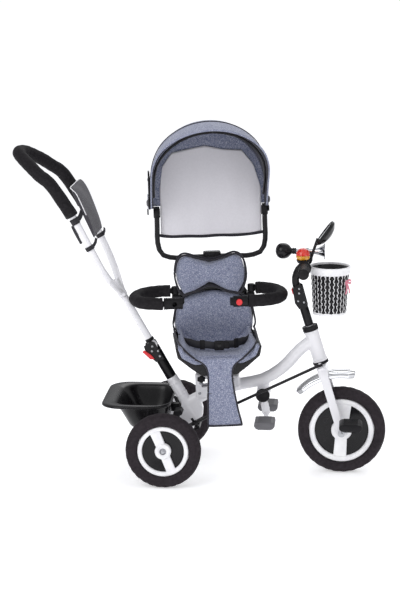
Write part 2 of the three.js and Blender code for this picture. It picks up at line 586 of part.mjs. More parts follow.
function seatCushions() {
  const pan = plateXZ([
    [-69.7, 58 + GAP], [69.7, 58 + GAP], [107.5, 82.4], [112.5, 106], [118, 112], [104, 116], [94, 92], [62, 72],
    [-62, 72], [-94, 92], [-104, 116], [-118, 112], [-112.5, 106], [-107.5, 82.4],
  ], -122, 98);
  const back = plateXZ([
    [-60, 71], [60, 71], [92, 90], [104, 107], [118, 116], [122, 128], [116, 178], [90, 214], [60, 228], [0, 236],
    [-60, 228], [-90, 214], [-116, 178], [-122, 128], [-118, 116], [-104, 107], [-92, 90],
  ], 78, 98.6);
  const earRoom = [-1, 1].map((sign) => box(sign > 0 ? 90 : -130, sign > 0 ? 130 : -90, 70, 110, 192, 224));
  add(seatGroup, 'seat_cushion', cut(join(pan, back), ...earRoom), fabric());
  const pillow = plateXZ([
    [-60, 232], [-10, 251], [40, 232], [76, 226], [92, 258], [95, 290], [86, 326], [64, 340], [30, 330],
    [-8, 322], [-46, 330], [-82, 340], [-102, 326], [-111, 290], [-108, 258], [-92, 226],
  ], 56, 98);
  const cushionRoom = plateXZ([[-100, 200], [100, 200], [88, 218], [60, 231], [0, 239], [-60, 231], [-88, 218]], 70, 110);
  add(seatGroup, 'head_pillow', cut(pillow, cushionRoom), fabric());
  const flap = plateXZ([[-31, 70], [31, 68], [36, 0], [60, -121], [-38, -121], [-34, 0]], -134, -125);
  add(seatGroup, 'seat_flap', flap, fabric());
}

function lapBelt() {
  const inside = [[-86, 20], [-70, -36], [-38, -62], [0, -70], [38, -62], [70, -36], [86, 20]];
  const outside = inside.map(([x, y]) => [x * 1.01, y - 3]);
  add(seatGroup, 'lap_belt', plateXY([...outside, ...inside.toReversed()], 89, 113), darkTrim());
  add(seatGroup, 'belt_buckle', box(-12, 34, -84, -73 - GAP, 86, 116), blackPlastic());
}

// ---- bumper arms --------------------------------------------------------
const ARM_Z = 231;
const ARM_HINGE = [112, 92];
const LEFT_ARM = [[-112, 92], [-160, 91], [-209, 62], [-232, 0], [-217, -60], [-171, -88], [-120, -90]];
const RIGHT_ARM = [[112, 92], [146, 91], [180, 54], [193, 0], [178, -58], [134, -87], [84, -90]];

function bumperArm(name, path, foamEnd, connector) {
  const points = path.map(([x, y]) => [x, y, ARM_Z]);
  const tube = bentTube(points, 8, 12, 8);
  const hinge = bar([path[0][0], path[0][1], ARM_Z - 10], [path[0][0], path[0][1], ARM_Z + 12], 11, 11, 16);
  add(seatGroup, `${name}_tube`, join(tube, hinge, connector), blackPaint());
  const covered = [[path[0][0] * 1.13, 92, ARM_Z], ...points.slice(1, -1), [foamEnd, -90, ARM_Z]];
  const sleeve = cut(bentTube(covered, 18, 12, 10), bentTube(points, 9.5, 12, 8));
  add(seatGroup, `${name}_foam`, sleeve, foam());
}

function bumperArms() {
  const socket = cut(
    bar([-152, -90, ARM_Z], [-98, -90, ARM_Z], 16.5, 16.5, 20),
    bar([-138, -90, ARM_Z], [-90, -90, ARM_Z], 13, 13, 16),
    bar([-122, -120, ARM_Z], [-122, -90, ARM_Z], 7),
  );
  bumperArm('left_arm', LEFT_ARM, -158, socket);
  const plug = cut(
    join(bar([88, -90, ARM_Z], [46, -90, ARM_Z], 16, 16, 20), bar([50, -90, ARM_Z], [37, -90, ARM_Z], 12, 12, 16)),
    bar([62, -120, ARM_Z], [62, -96, ARM_Z], 9.5, 9.5, 16),
  );
  bumperArm('right_arm', RIGHT_ARM, 92, plug);
  add(seatGroup, 'arm_release_button', bar([62, -108, ARM_Z], [62, -99.5, ARM_Z], 9, 9, 16), redPlastic());
}

// ---- canopy -------------------------------------------------------------
const CANOPY_Y = 112;
const CANOPY_HALF = 158;
const HOOD_SHIFT = -7; // the hood sits a touch to one side of the seat
const HOOD_HALF = 169;
const HOOD_RISE = 160; // height of the round top above the upright sides
const HOOD_FRONT = -168;
const HOOD_BACK = 127;
const HOOD_BOTTOM = 478;
const HOOD_RIDGE = [[HOOD_FRONT, 733], [-100, 742], [0, 744], [70, 728], [HOOD_BACK, 700]]; // y, z of the crest
const SHEET = 3; // thickness of the padded fabric
const BOW_PIVOT = [100, 492]; // y, z of the hood's hinge

// Door-shaped outline: upright sides under an elliptical top.
function archOutline(half, rise, top, bottom, steps = 18) {
  const round = Array.from({ length: steps + 1 }, (_, i) => {
    const angle = (i / steps) * Math.PI;
    return [HOOD_SHIFT + half * Math.cos(angle), top - rise + rise * Math.sin(angle)];
  });
  return [[HOOD_SHIFT - half, bottom], [HOOD_SHIFT + half, bottom], ...round];
}

// Solid filling the hood, shrunk all round by the inset; layers run from the back to the front.
function hoodBlock(inset, bottom) {
  const layers = HOOD_RIDGE.toReversed().map(([y, top], i, all) => {
    const shift = i === 0 ? inset : i === all.length - 1 ? inset * 4 : 0;
    return { points: archOutline(HOOD_HALF - inset, HOOD_RISE - inset, top - inset, bottom), z: shift - y };
  });
  return loft(layers).rotateX(Math.PI / 2);
}

const PANEL_TOP = [[150, 520], [128, 594], [95, 636], [40, 640], [-12, 652], [-60, 644], [-110, 634], [-138, 594], [-148, 520]];

function canopyBars() {
  const half = [
    [CANOPY_HALF, 474], [CANOPY_HALF, 420], [CANOPY_HALF, 372], [CANOPY_HALF - 11, 338], [CANOPY_HALF - 42, 326], [60, 326],
  ];
  const bars = [...half.map(([x, z]) => [-x, CANOPY_Y, z]), ...half.toReversed().map(([x, z]) => [x, CANOPY_Y, z])];
  add(seatGroup, 'canopy_tube', bentTube(bars, 8, 28, 8), blackPaint());
}

function hoodFabric() {
  const fan = plateYZ([
    [HOOD_BACK + 5, HOOD_BOTTOM], [84, HOOD_BOTTOM], [HOOD_FRONT - 2, 726], [HOOD_FRONT - 2, 790], [HOOD_BACK + 5, 790],
  ], -250, 250);
  const window = plateXZ(
    [[-142, 400], [142, 400], ...PANEL_TOP.map(([x, z]) => [x * 0.94, z - 8])], HOOD_BACK - 20, HOOD_BACK + 10);
  const tunnel = cut(hoodBlock(0, 440), hoodBlock(SHEET, 430));
  add(seatGroup, 'hood_fabric', cut(common(tunnel, fan), window), fabric());
  const panel = plateXZ(
    [[-148, 380], [150, 380], ...PANEL_TOP], HOOD_BACK - 2 * SHEET - GAP, HOOD_BACK - SHEET - GAP);
  add(seatGroup, 'hood_panel', panel, paleFabric());
}

// Bow under the front edge of the hood, leaning forward from the hinge.
function hoodBow() {
  const [py, pz] = BOW_PIVOT;
  const [frontY, frontTop] = HOOD_RIDGE[0];
  const half = HOOD_HALF - 10;
  const rise = HOOD_RISE - 9;
  const slope = (py - frontY - 8) / (frontTop - 9 - pz);
  const leaning = (x, z) => [HOOD_SHIFT + x, py - slope * (z - pz), z];
  const arch = Array.from({ length: 11 }, (_, i) => {
    const angle = (i / 10) * Math.PI;
    return leaning(half * Math.cos(angle), frontTop - HOOD_RISE + rise * Math.sin(angle));
  });
  const path = [leaning(half, pz + 20), ...arch, leaning(-half, pz + 20)];
  add(seatGroup, 'hood_bow', bentTube(path, 4, 24, 6), blackPaint());
}

// Side plates carry the hood on the tops of the canopy bars.
function hoodBrackets() {
  const seatZ = 474 + GAP;
  for (const [name, sign] of [['left', -1], ['right', 1]]) {
    const inner = HOOD_SHIFT + sign * (HOOD_HALF + GAP);
    const outer = inner + sign * 5;
    const side = [[88, seatZ], [121, seatZ], [122, 540], [112, 586], [92, 584], [84, 540]];
    const plate = plateYZ(side, Math.min(inner, outer), Math.max(inner, outer));
    const foot = box(Math.min(outer, sign * 150), Math.max(outer, sign * 150), 100, 121, seatZ, HOOD_BOTTOM - GAP);
    add(seatGroup, `hood_bracket_${name}`, join(plate, foot), blackPlastic());
  }
}

// ---- assembly -----------------------------------------------------------
add(tricycle, 'main_frame', mainFrame(), whitePaint());
frameFittings();
rearBasket();
brakePedal();
footrest();
rearWheels();
frontWheel();
cranksAndPedals();
fork();
mudguard();
steeringRod();
stem();
handlebar();
horn();
light();
mirror();
frontBasket();
pushShaft();
pushHandle();
pushGrip();
pouch();
seatShell();
seatCushions();
lapBelt();
bumperArms();
canopyBars();
hoodFabric();
hoodBow();
hoodBrackets();

export default tricycle;
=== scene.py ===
"""Looks of a child's push-along tricycle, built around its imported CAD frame.

Metres, +X forward, +Z up. Helper functions take millimetres in the frame of the part that carries the piece:
TRIKE (from the rear axle), STEER (up the steering axis), PUSH (up the push tube) and SEAT (facing local -Y).
"""
import math

import bmesh
import bpy
from mathutils import Matrix, Vector


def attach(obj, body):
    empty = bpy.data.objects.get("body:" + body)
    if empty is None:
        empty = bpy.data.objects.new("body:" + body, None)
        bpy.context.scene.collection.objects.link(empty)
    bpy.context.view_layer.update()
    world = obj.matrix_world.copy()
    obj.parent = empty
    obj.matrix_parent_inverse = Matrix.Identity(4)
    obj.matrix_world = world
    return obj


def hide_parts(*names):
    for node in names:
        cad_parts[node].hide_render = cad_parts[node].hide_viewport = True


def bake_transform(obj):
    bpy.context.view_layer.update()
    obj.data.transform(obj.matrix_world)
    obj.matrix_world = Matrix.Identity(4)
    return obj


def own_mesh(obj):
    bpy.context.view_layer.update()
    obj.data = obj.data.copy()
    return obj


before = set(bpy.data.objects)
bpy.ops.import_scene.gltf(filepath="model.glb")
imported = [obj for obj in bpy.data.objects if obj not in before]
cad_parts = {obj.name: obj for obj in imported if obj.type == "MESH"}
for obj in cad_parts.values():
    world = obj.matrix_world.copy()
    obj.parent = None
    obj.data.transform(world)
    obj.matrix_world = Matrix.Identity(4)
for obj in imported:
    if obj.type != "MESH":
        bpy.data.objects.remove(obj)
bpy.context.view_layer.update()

# ---- the frames that the parts are built in ---------------------------------
BOX_CENTRE_X = 90
WHEELBASE = 503
FRONT_RADIUS = 127.5
REAR_RADIUS = 108
REAR_TRACK_HALF = 195


def placed(x, y, z, lean_degrees=0.0, turn_degrees=0.0):
    """Frame at a point given in millimetres from the rear axle, leaning about Y and then turned about Z."""
    at = Vector(((x - BOX_CENTRE_X) / 1000, y / 1000, z / 1000))
    lean = Matrix.Rotation(math.radians(-lean_degrees), 4, "Y")
    return Matrix.Translation(at) @ lean @ Matrix.Rotation(math.radians(turn_degrees), 4, "Z")


TRIKE = placed(0, 0, 0)
STEER = placed(WHEELBASE, 0, FRONT_RADIUS, 17.5)
PUSH = placed(4.9, 0, 275, 30)
SEAT = placed(138.5, 0, 288, 1.5, 8)


def point(group, x, y, z):
    return group @ Vector((x / 1000, y / 1000, z / 1000))


# ---- materials --------------------------------------------------------------
def linear(red, green, blue):
    """Linear colour from 0-255 display values."""
    def channel(value):
        value /= 255
        return value / 12.92 if value <= 0.04045 else ((value + 0.055) / 1.055) ** 2.4
    return (channel(red), channel(green), channel(blue), 1.0)


class Shader:
    """A node material with short helpers for wiring procedural detail."""

    def __init__(self, name):
        self.material = bpy.data.materials.new(name)
        self.material.use_nodes = True
        self.nodes = self.material.node_tree.nodes
        self.links = self.material.node_tree.links
        self.surface = self.nodes["Principled BSDF"]
        self.place = self.nodes.new("ShaderNodeTexCoord").outputs["Object"]

    def set(self, **values):
        for key, value in values.items():
            self.surface.inputs[key.replace("_", " ")].default_value = value
        return self

    def noise(self, scale, detail=3.0, stretch=(1, 1, 1), roughness=0.5):
        mapping = self.nodes.new("ShaderNodeMapping")
        mapping.inputs["Scale"].default_value = stretch
        self.links.new(self.place, mapping.inputs["Vector"])
        noise = self.nodes.new("ShaderNodeTexNoise")
        noise.inputs["Scale"].default_value = scale
        noise.inputs["Detail"].default_value = detail
        noise.inputs["Roughness"].default_value = roughness
        self.links.new(mapping.outputs["Vector"], noise.inputs["Vector"])
        return noise.outputs["Fac"]

    def wave(self, scale, direction, profile="SIN"):
        wave = self.nodes.new("ShaderNodeTexWave")
        wave.bands_direction = direction
        wave.wave_profile = profile
        wave.inputs["Scale"].default_value = scale
        self.links.new(self.place, wave.inputs["Vector"])
        return wave.outputs["Fac"]

    def ramp(self, factor, stops):
        ramp = self.nodes.new("ShaderNodeValToRGB")
        elements = ramp.color_ramp.elements
        while len(elements) < len(stops):
            elements.new(0.5)
        for element, (position, colour) in zip(elements, stops):
            element.position = position
            element.color = colour
        self.links.new(factor, ramp.inputs["Fac"])
        return ramp.outputs["Color"]

    def maths(self, operation, first, second):
        node = self.nodes.new("ShaderNodeMath")
        node.operation = operation
        for socket, value in zip(node.inputs, (first, second)):
            if isinstance(value, (int, float)):
                socket.default_value = value
            else:
                self.links.new(value, socket)
        return node.outputs["Value"]

    def mix(self, factor, first, second, blend="MIX"):
        node = self.nodes.new("ShaderNodeMix")
        node.data_type = "RGBA"
        node.blend_type = blend
        for socket, value in ((node.inputs[0], factor), (node.inputs[6], first), (node.inputs[7], second)):
            if isinstance(value, (int, float, tuple)):
                socket.default_value = value
            else:
                self.links.new(value, socket)
        return node.outputs[2]

    def colour(self, value):
        self.links.new(value, self.surface.inputs["Base Color"])
        return self

    def rough(self, factor, low, high):
        spread = self.nodes.new("ShaderNodeMapRange")
        spread.inputs["To Min"].default_value = low
        spread.inputs["To Max"].default_value = high
        self.links.new(factor, spread.inputs["Value"])
        self.links.new(spread.outputs["Result"], self.surface.inputs["Roughness"])
        return self

    def bump(self, height, strength, distance=0.0005):
        bump = self.nodes.new("ShaderNodeBump")
        bump.inputs["Strength"].default_value = strength
        bump.inputs["Distance"].default_value = distance
        self.links.new(height, bump.inputs["Height"])
        self.links.new(bump.outputs["Normal"], self.surface.inputs["Normal"])
        return self


def moulded_plastic(name, rgb, low=0.38, high=0.55, grain=0.12, shine=0.5):
    shader = Shader(name)
    shader.set(Specular_IOR_Level=shine)
    tone = shader.noise(40, 4)
    base = linear(*rgb)
    lighter = tuple(min(1.0, channel * 1.25 + 0.004) for channel in base[:3]) + (1.0,)
    shader.colour(shader.ramp(tone, [(0.3, base), (0.8, lighter)]))
    shader.rough(shader.noise(60, 3), low, high)
    shader.bump(shader.noise(1800, 2), grain, 0.0002)
    return shader.material


def painted_steel(name, rgb, roughness=0.28, coat=0.5, shine=0.5):
    shader = Shader(name)
    shader.set(Specular_IOR_Level=shine)
    base = linear(*rgb)
    shade = tuple(channel * 0.94 for channel in base[:3]) + (1.0,)
    shader.colour(shader.ramp(shader.noise(9, 3), [(0.35, shade), (0.65, base)]))
    shader.rough(shader.noise(35, 3), roughness - 0.05, roughness + 0.08)
    shader.set(Coat_Weight=coat, Coat_Roughness=0.12)
    shader.bump(shader.noise(260, 2), 0.05, 0.0003)
    return shader.material


def metal(name, rgb, low, high, grain=0.04):
    shader = Shader(name)
    shader.set(Base_Color=linear(*rgb), Metallic=1.0)
    shader.rough(shader.noise(70, 4, (1, 1, 6)), low, high)
    shader.bump(shader.noise(900, 2), grain, 0.0002)
    return shader.material


def plating_with_painted_reflections(name, low, high):
    """Bright plating with painted reflection bands: the base colour runs light and dark by how far the
    surface turns from the view, deeper in tone where it turns away.
    """
    shader = Shader(name)
    # Layer Weight Facing drives the base colour through the ramp below: painted reflection bands, set by
    # where the view falls.
    turn = shader.nodes.new("ShaderNodeLayerWeight")
    turn.inputs["Blend"].default_value = 0.5
    painted_reflection_tones = [(0.05, linear(236, 237, 240)), (0.45, linear(150, 151, 155)), (0.62, linear(228, 229, 232)),
             (0.95, linear(96, 97, 101))]
    shader.colour(shader.ramp(turn.outputs["Facing"], painted_reflection_tones))
    shader.set(Metallic=1.0)
    shader.rough(shader.noise(70, 4, (1, 1, 6)), low, high)
    shader.bump(shader.noise(14, 2), 0.12, 0.004)
    return shader.material


def melange_fabric(name, dark, middle, light):
    """Woven cloth of mixed yarns: pale and dark threads both ways, with a fine weave in relief."""
    shader = Shader(name)
    across = shader.noise(240, 3, (1.0, 1.0, 3.2), 0.7)
    along = shader.noise(240, 3, (3.2, 3.2, 1.0), 0.7)
    yarn = shader.maths("MULTIPLY", shader.maths("ADD", across, along), 0.5)
    shader.colour(shader.ramp(yarn, [(0.36, linear(*dark)), (0.5, linear(*middle)),
                                     (0.62, linear(*light))]))
    weave = shader.maths("ADD", shader.wave(420, "X"), shader.wave(420, "Z"))
    height = shader.maths("ADD", shader.maths("MULTIPLY", weave, 0.35), yarn)
    shader.bump(height, 0.55, 0.0007)
    shader.set(Roughness=0.92, Sheen_Weight=0.25, Sheen_Roughness=0.5)
    return shader.material


def plain_cloth(name, rgb, weave=520, relief=0.35, shade=0.88, roughness=0.88):
    shader = Shader(name)
    base = linear(*rgb)
    darker = tuple(channel * shade for channel in base[:3]) + (1.0,)
    shader.colour(shader.ramp(shader.noise(160, 3), [(0.35, darker), (0.65, base)]))
    threads = shader.maths("ADD", shader.wave(weave, "X"), shader.wave(weave, "Z"))
    shader.bump(shader.maths("ADD", threads, shader.noise(60, 3)), relief, 0.0004)
    shader.set(Roughness=roughness, Sheen_Weight=0.15)
    return shader.material


def webbing(name, rgb):
    shader = Shader(name)
    base = linear(*rgb)
    pale = tuple(channel * 2.2 + 0.01 for channel in base[:3]) + (1.0,)
    ribs = shader.wave(300, "DIAGONAL")
    shader.colour(shader.ramp(ribs, [(0.2, base), (0.9, pale)]))
    shader.bump(ribs, 0.5, 0.0006)
    shader.set(Roughness=0.75)
    return shader.material


def soft_foam(name, rgb, cell=700, relief=0.35, low=0.7, high=0.92):
    shader = Shader(name)
    shader.set(Specular_IOR_Level=0.18)
    base = linear(*rgb)
    paler = tuple(channel * 1.5 + 0.006 for channel in base[:3]) + (1.0,)
    shader.colour(shader.ramp(shader.noise(120, 4), [(0.3, base), (0.75, paler)]))
    shader.rough(shader.noise(50, 3), low, high)
    shader.bump(shader.noise(cell, 3), relief, 0.0006)
    return shader.material


def tinted_lens(name, rgb):
    shader = Shader(name)
    rings = shader.wave(170, "Z")
    base = linear(*rgb)
    bright = tuple(min(1.0, channel * 1.35 + 0.02) for channel in base[:3]) + (1.0,)
    shader.colour(shader.ramp(rings, [(0.1, base), (0.9, bright)]))
    shader.bump(rings, 0.25, 0.0006)
    shader.set(Roughness=0.12, Coat_Weight=0.8, Transmission_Weight=0.25)
    return shader.material


def looking_glass(name):
    shader = Shader(name)
    shader.set(Base_Color=(0.85, 0.87, 0.88, 1.0), Metallic=1.0)
    shader.rough(shader.noise(20, 2), 0.01, 0.05)
    return shader.material


WHITE_PAINT = painted_steel("white_paint", (240, 239, 243))
WHITE_PLASTIC = moulded_plastic("white_plastic", (238, 237, 241), 0.3, 0.45, 0.05)
BLACK_PLASTIC = moulded_plastic("black_plastic", (18, 17, 20), shine=0.22)
BLACK_GLOSS = moulded_plastic("black_gloss", (14, 13, 16), 0.18, 0.32, 0.04, 0.3)
BLACK_PAINT = painted_steel("black_paint", (15, 14, 18), 0.34, 0.1, 0.25)
GREY_PLASTIC = moulded_plastic("grey_plastic", (92, 91, 95), 0.4, 0.55, 0.15)
RED_PLASTIC = moulded_plastic("red_plastic", (214, 44, 50), 0.25, 0.4, 0.05)
TYRE = soft_foam("tyre_foam", (38, 33, 37), 900, 0.45)
FOAM = soft_foam("grip_foam", (23, 21, 24))
STEEL = metal("bright_steel", (186, 187, 191), 0.22, 0.4, 0.08)
# Chrome pieces take this material, whose base colour holds painted reflection bands.
PAINTED_REFLECTION_CHROME = plating_with_painted_reflections("chrome", 0.05, 0.14)
BLUE_FABRIC = melange_fabric("blue_melange", (72, 78, 104), (130, 136, 163), (204, 207, 220))
# Inner face of the hood: navy darker than the outer blue cloth, painted shade for the shadow inside the hood.
HOOD_LINING_PAINTED_SHADE = plain_cloth("hood_lining_painted_shade", (48, 50, 66))
PALE_CLOTH = plain_cloth("pale_cloth", (232, 230, 236), 600, 0.2, 0.97)
PIPING = plain_cloth("dark_binding", (38, 36, 45), 700, 0.3)
STRAP = webbing("black_webbing", (24, 23, 28))
POUCH_CLOTH = plain_cloth("pouch_cloth", (72, 70, 77), 420, 0.5, 0.8)
RIBBON = plain_cloth("pink_ribbon", (233, 140, 160), 800, 0.15, 0.9, 0.45)
RED_LENS = tinted_lens("red_lens", (225, 44, 24))
AMBER_LENS = tinted_lens("amber_lens", (240, 160, 24))
GLASS = looking_glass("mirror_glass")


# ---- mesh helpers -----------------------------------------------------------
def as_object(name, mesh, materials):
    piece = bpy.data.objects.new(name, mesh)
    bpy.context.scene.collection.objects.link(piece)
    for material in materials if isinstance(materials, (list, tuple)) else [materials]:
        mesh.materials.append(material)
    return piece


def from_points(name, vertices, faces, materials, group=TRIKE, smooth=True):
    """Mesh from points in millimetres in a group's frame."""
    mesh = bpy.data.meshes.new(name)
    mesh.from_pydata([point(group, *vertex) for vertex in vertices], [], faces)
    mesh.update()
    for polygon in mesh.polygons:
        polygon.use_smooth = smooth
    return as_object(name, mesh, materials)


def applied(piece, *modifiers):
    """Adds modifiers given as (type, settings) and turns the result into the piece's own mesh."""
    for kind, settings in modifiers:
        modifier = piece.modifiers.new(kind, kind)
        for key, value in settings.items():
            setattr(modifier, key, value)
    bpy.context.view_layer.update()
    evaluated = piece.evaluated_get(bpy.context.evaluated_depsgraph_get())
    mesh = bpy.data.meshes.new_from_object(evaluated)
    piece.modifiers.clear()
    piece.data = mesh
    for polygon in mesh.polygons:
        polygon.use_smooth = True
    return piece


def grid_faces(rows, columns, closed_rows=False, closed_columns=False):
    faces = []
    for row in range(rows if closed_rows else rows - 1):
        for column in range(columns if closed_columns else columns - 1):
            right = (column + 1) % columns
            below = (row + 1) % rows
            faces.append((row * columns + column, row * columns + right, below * columns + right,
                          below * columns + column))
    return faces


def grid(name, rows, materials, group, closed_columns=False, closed_rows=False):
    """Surface through rows of points of equal length."""
    columns = len(rows[0])
    faces = grid_faces(len(rows), columns, closed_rows, closed_columns)
    return from_points(name, [vertex for row in rows for vertex in row], faces, materials, group)


def turned(name, profile, material, group, axis="Z", centre=(0, 0, 0), segments=96, closed=False):
    """Turned piece from (radius, height) points about an axis through the centre."""
    rows = []
    for step in range(segments):
        angle = 2 * math.pi * step / segments
        row = []
        for radius, height in profile:
            u, v = radius * math.cos(angle), radius * math.sin(angle)
            offset = {"X": (height, u, v), "Y": (v, height, u), "Z": (u, v, height)}[axis]
            row.append(tuple(c + o for c, o in zip(centre, offset)))
        rows.append(row)
    piece = grid(name, rows, material, group, closed_columns=closed, closed_rows=True)
    return tidy_normals(piece)


def collar(name, inner, outer, half, material, group, axis, centre, segments=40):
    """Plain ring of square section about an axis."""
    section = [(inner, -half), (outer, -half), (outer, half), (inner, half)]
    return turned(name, section, material, group, axis, centre, segments, closed=True)


def tidy_normals(piece, merge=1e-5):
    shape = bmesh.new()
    shape.from_mesh(piece.data)
    bmesh.ops.remove_doubles(shape, verts=shape.verts, dist=merge)
    bmesh.ops.recalc_face_normals(shape, faces=shape.faces)
    shape.to_mesh(piece.data)
    shape.free()
    return piece


def capped(piece):
    """Closes the open ends of a mesh."""
    shape = bmesh.new()
    shape.from_mesh(piece.data)
    bmesh.ops.holes_fill(shape, edges=shape.edges)
    shape.to_mesh(piece.data)
    shape.free()
    return tidy_normals(piece)


def smooth_path(points, per_span=8, closed=False):
    """Points on a Catmull-Rom curve through the given points."""
    count = len(points)
    result = []
    spans = count if closed else count - 1
    for span in range(spans):
        if closed:
            a, b, c, d = (Vector(points[(span + k) % count]) for k in (-1, 0, 1, 2))
        else:
            a, b, c, d = (Vector(points[min(max(span + k, 0), count - 1)]) for k in (-1, 0, 1, 2))
        for step in range(per_span):
            t = step / per_span
            result.append(0.5 * (2 * b + (c - a) * t + (2 * a - 5 * b + 4 * c - d) * t ** 2
                                 + (3 * b - a - 3 * c + d) * t ** 3))
    if not closed:
        result.append(Vector(points[-1]))
    return result


def tube(name, points, radius, material, group, per_span=8, sides=14, closed=False, flat=1.0):
    """Round cord, bar or piping along a smooth curve; flat below 1 makes it a strap."""
    path = smooth_path(points, per_span, closed)
    count = len(path)
    rows = []
    up = Vector((0, 0, 1))
    for index, here in enumerate(path):
        ahead = path[(index + 1) % count] if closed else path[min(index + 1, count - 1)]
        behind = path[index - 1] if closed else path[max(index - 1, 0)]
        along = (ahead - behind).normalized()
        side = along.cross(up)
        if side.length < 0.05:
            side = along.cross(Vector((0, 1, 0)))
        side.normalize()
        lift = side.cross(along).normalized()
        row = []
        for step in range(sides):
            angle = 2 * math.pi * step / sides
            offset = side * (radius * flat * math.cos(angle)) + lift * (radius * math.sin(angle))
            row.append(tuple(here + offset))
        rows.append(row)
    piece = grid(name, rows, material, group, closed_columns=True, closed_rows=closed)
    return tidy_normals(piece) if closed else capped(piece)


def block(name, low, high, material, group, bevel=1.5, segments=3):
    """Box with rounded edges."""
    (x0, y0, z0), (x1, y1, z1) = low, high
    vertices = [(x, y, z) for x in (x0, x1) for y in (y0, y1) for z in (z0, z1)]
    faces = [(0, 1, 3, 2), (4, 6, 7, 5), (0, 4, 5, 1), (2, 3, 7, 6), (0, 2, 6, 4), (1, 5, 7, 3)]
    piece = tidy_normals(from_points(name, vertices, faces, material, group))
    return applied(piece, ("BEVEL", {"width": bevel / 1000, "segments": segments, "harden_normals": False}))


def plate(name, outline, thickness, material, group, plane="XZ", bevel=1.0):
    """Flat piece with rounded edges: an outline in one plane, thick from thickness[0] to thickness[1]."""
    order = {"XZ": lambda a, b, t: (a, t, b), "YZ": lambda a, b, t: (t, a, b), "XY": lambda a, b,
             t: (a, b, t)}[plane]
    count = len(outline)
    vertices = [order(a, b, level) for level in thickness for a, b in outline]
    faces = [tuple(range(count)), tuple(range(2 * count - 1, count - 1, -1))]
    faces += [(i, i + count, (i + 1) % count + count, (i + 1) % count) for i in range(count)]
    piece = tidy_normals(from_points(name, vertices, faces, material, group))
    return applied(piece, ("BEVEL", {"width": bevel / 1000, "segments": 3, "limit_method": "ANGLE"}))


def joined(name, pieces):
    """One object from several, keeping their materials."""
    shape = bmesh.new()
    materials = []
    for piece in pieces:
        for material in piece.data.materials:
            if material not in materials:
                materials.append(material)
    for piece in pieces:
        own = [materials.index(material) for material in piece.data.materials]
        first = len(shape.faces)
        shape.from_mesh(piece.data)
        shape.faces.ensure_lookup_table()
        for face in shape.faces[first:]:
            face.material_index = own[min(face.material_index, len(own) - 1)]
    mesh = bpy.data.meshes.new(name)
    shape.to_mesh(mesh)
    shape.free()
    for piece in pieces:
        bpy.data.objects.remove(piece)
    result = as_object(name, mesh, materials)
    for polygon in mesh.polygons:
        polygon.use_smooth = True
    return result


def recast(node, material, body, voxel=1.5, passes=6):
    """Rounded copy that stands for a CAD node: its facets are melted into a smooth moulded or drawn shape."""
    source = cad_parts[node]
    piece = as_object("look_" + node, source.data.copy(), [])
    piece.data.materials.clear()
    piece.data.materials.append(material)
    applied(
        piece,
        ("REMESH", {"mode": "VOXEL", "voxel_size": voxel / 1000, "use_smooth_shade": True}),
        ("SMOOTH", {"factor": 0.5, "iterations": passes}),
    )
    return shown(piece, body, node)


def shown(piece, body, *nodes, slot=None):
    """The piece rides on a body, and stands for CAD nodes if any are named."""
    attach(piece, body)
    if nodes:
        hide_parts(*nodes)
    return piece


def bolt(name, group, centre, axis, radius, body, material=STEEL, height=3.0):
    """Domed screw head."""
    profile = [(0, height), (radius * 0.55, height * 0.95), (radius * 0.9, height * 0.6), (radius, 0),
               (0, 0)]
    piece = turned(name, profile, material, group, axis, centre, 24)
    return shown(piece, body, slot="bare_steel")


# ---- hard pieces whose CAD shape is only rounded off ------------------------
RECAST = [
    ("main_frame", WHITE_PAINT, "frame", 1.6, 9),
    ("headset_lower_cup", BLACK_PLASTIC, "frame", 1.0, 4),
    ("headset_upper_cup", BLACK_PLASTIC, "frame", 1.0, 4),
    ("swivel_base", BLACK_PLASTIC, "frame", 1.5, 3),
    ("seat_release_knob", BLACK_PLASTIC, "seat_release_knob", 0.8, 6),
    ("brake_pedal", BLACK_PLASTIC, "brake_pedal", 1.2, 6),
    ("footrest_arm", WHITE_PAINT, "footrest", 1.2, 8),
    ("fork", WHITE_PAINT, "steering", 1.2, 7),
    ("steering_rod", BLACK_PAINT, "steering_rod", 1.0, 6),
    ("stem_tube", BLACK_PAINT, "steering", 1.0, 5),
    ("stem_clamp", BLACK_PAINT, "steering", 0.8, 5),
    ("stem_lever", RED_PLASTIC, "stem_lever", 0.7, 3),
    ("handlebar", BLACK_PAINT, "handlebar", 1.2, 8),
    ("mirror", BLACK_GLOSS, "mirror", 1.0, 7),
    ("push_shaft", BLACK_PAINT, "push_shaft", 1.0, 6),
    ("push_clamp", BLACK_PAINT, "push_shaft", 0.8, 5),
    ("push_lever", RED_PLASTIC, "push_lever", 0.7, 4),
    ("push_tube", WHITE_PAINT, "push_handle", 1.3, 9),
    ("seat_shell", BLACK_GLOSS, "seat", 1.7, 26),
    ("left_arm_tube", BLACK_PLASTIC, "left_arm", 0.9, 7),
    ("right_arm_tube", BLACK_PLASTIC, "right_arm", 0.9, 7),
    ("canopy_tube", BLACK_PAINT, "seat", 1.1, 8),
    ("hood_bow", BLACK_PAINT, "hood_bow", 0.8, 8),
    ("hood_bracket_left", BLACK_PLASTIC, "seat", 0.9, 4),
    ("hood_bracket_right", BLACK_PLASTIC, "seat", 0.9, 4),
    ("crank_axle", STEEL, "front_wheel", 0.9, 4),
    ("rear_axle", STEEL, "frame", 0.9, 3),
    ("light_base", BLACK_PLASTIC, "handlebar", 0.8, 3),
    ("arm_release_button", RED_PLASTIC, "arm_release_button", 0.6, 4),
]


def hard_pieces():
    for node, material, body, voxel, passes in RECAST:
        recast(node, material, body, voxel, passes)


# ---- wheels -----------------------------------------------------------------
TREAD_STEPS = 240
TREAD_PITCH, TREAD_GROOVE = 8, 1.3  # steps from one notch to the next, and its depth


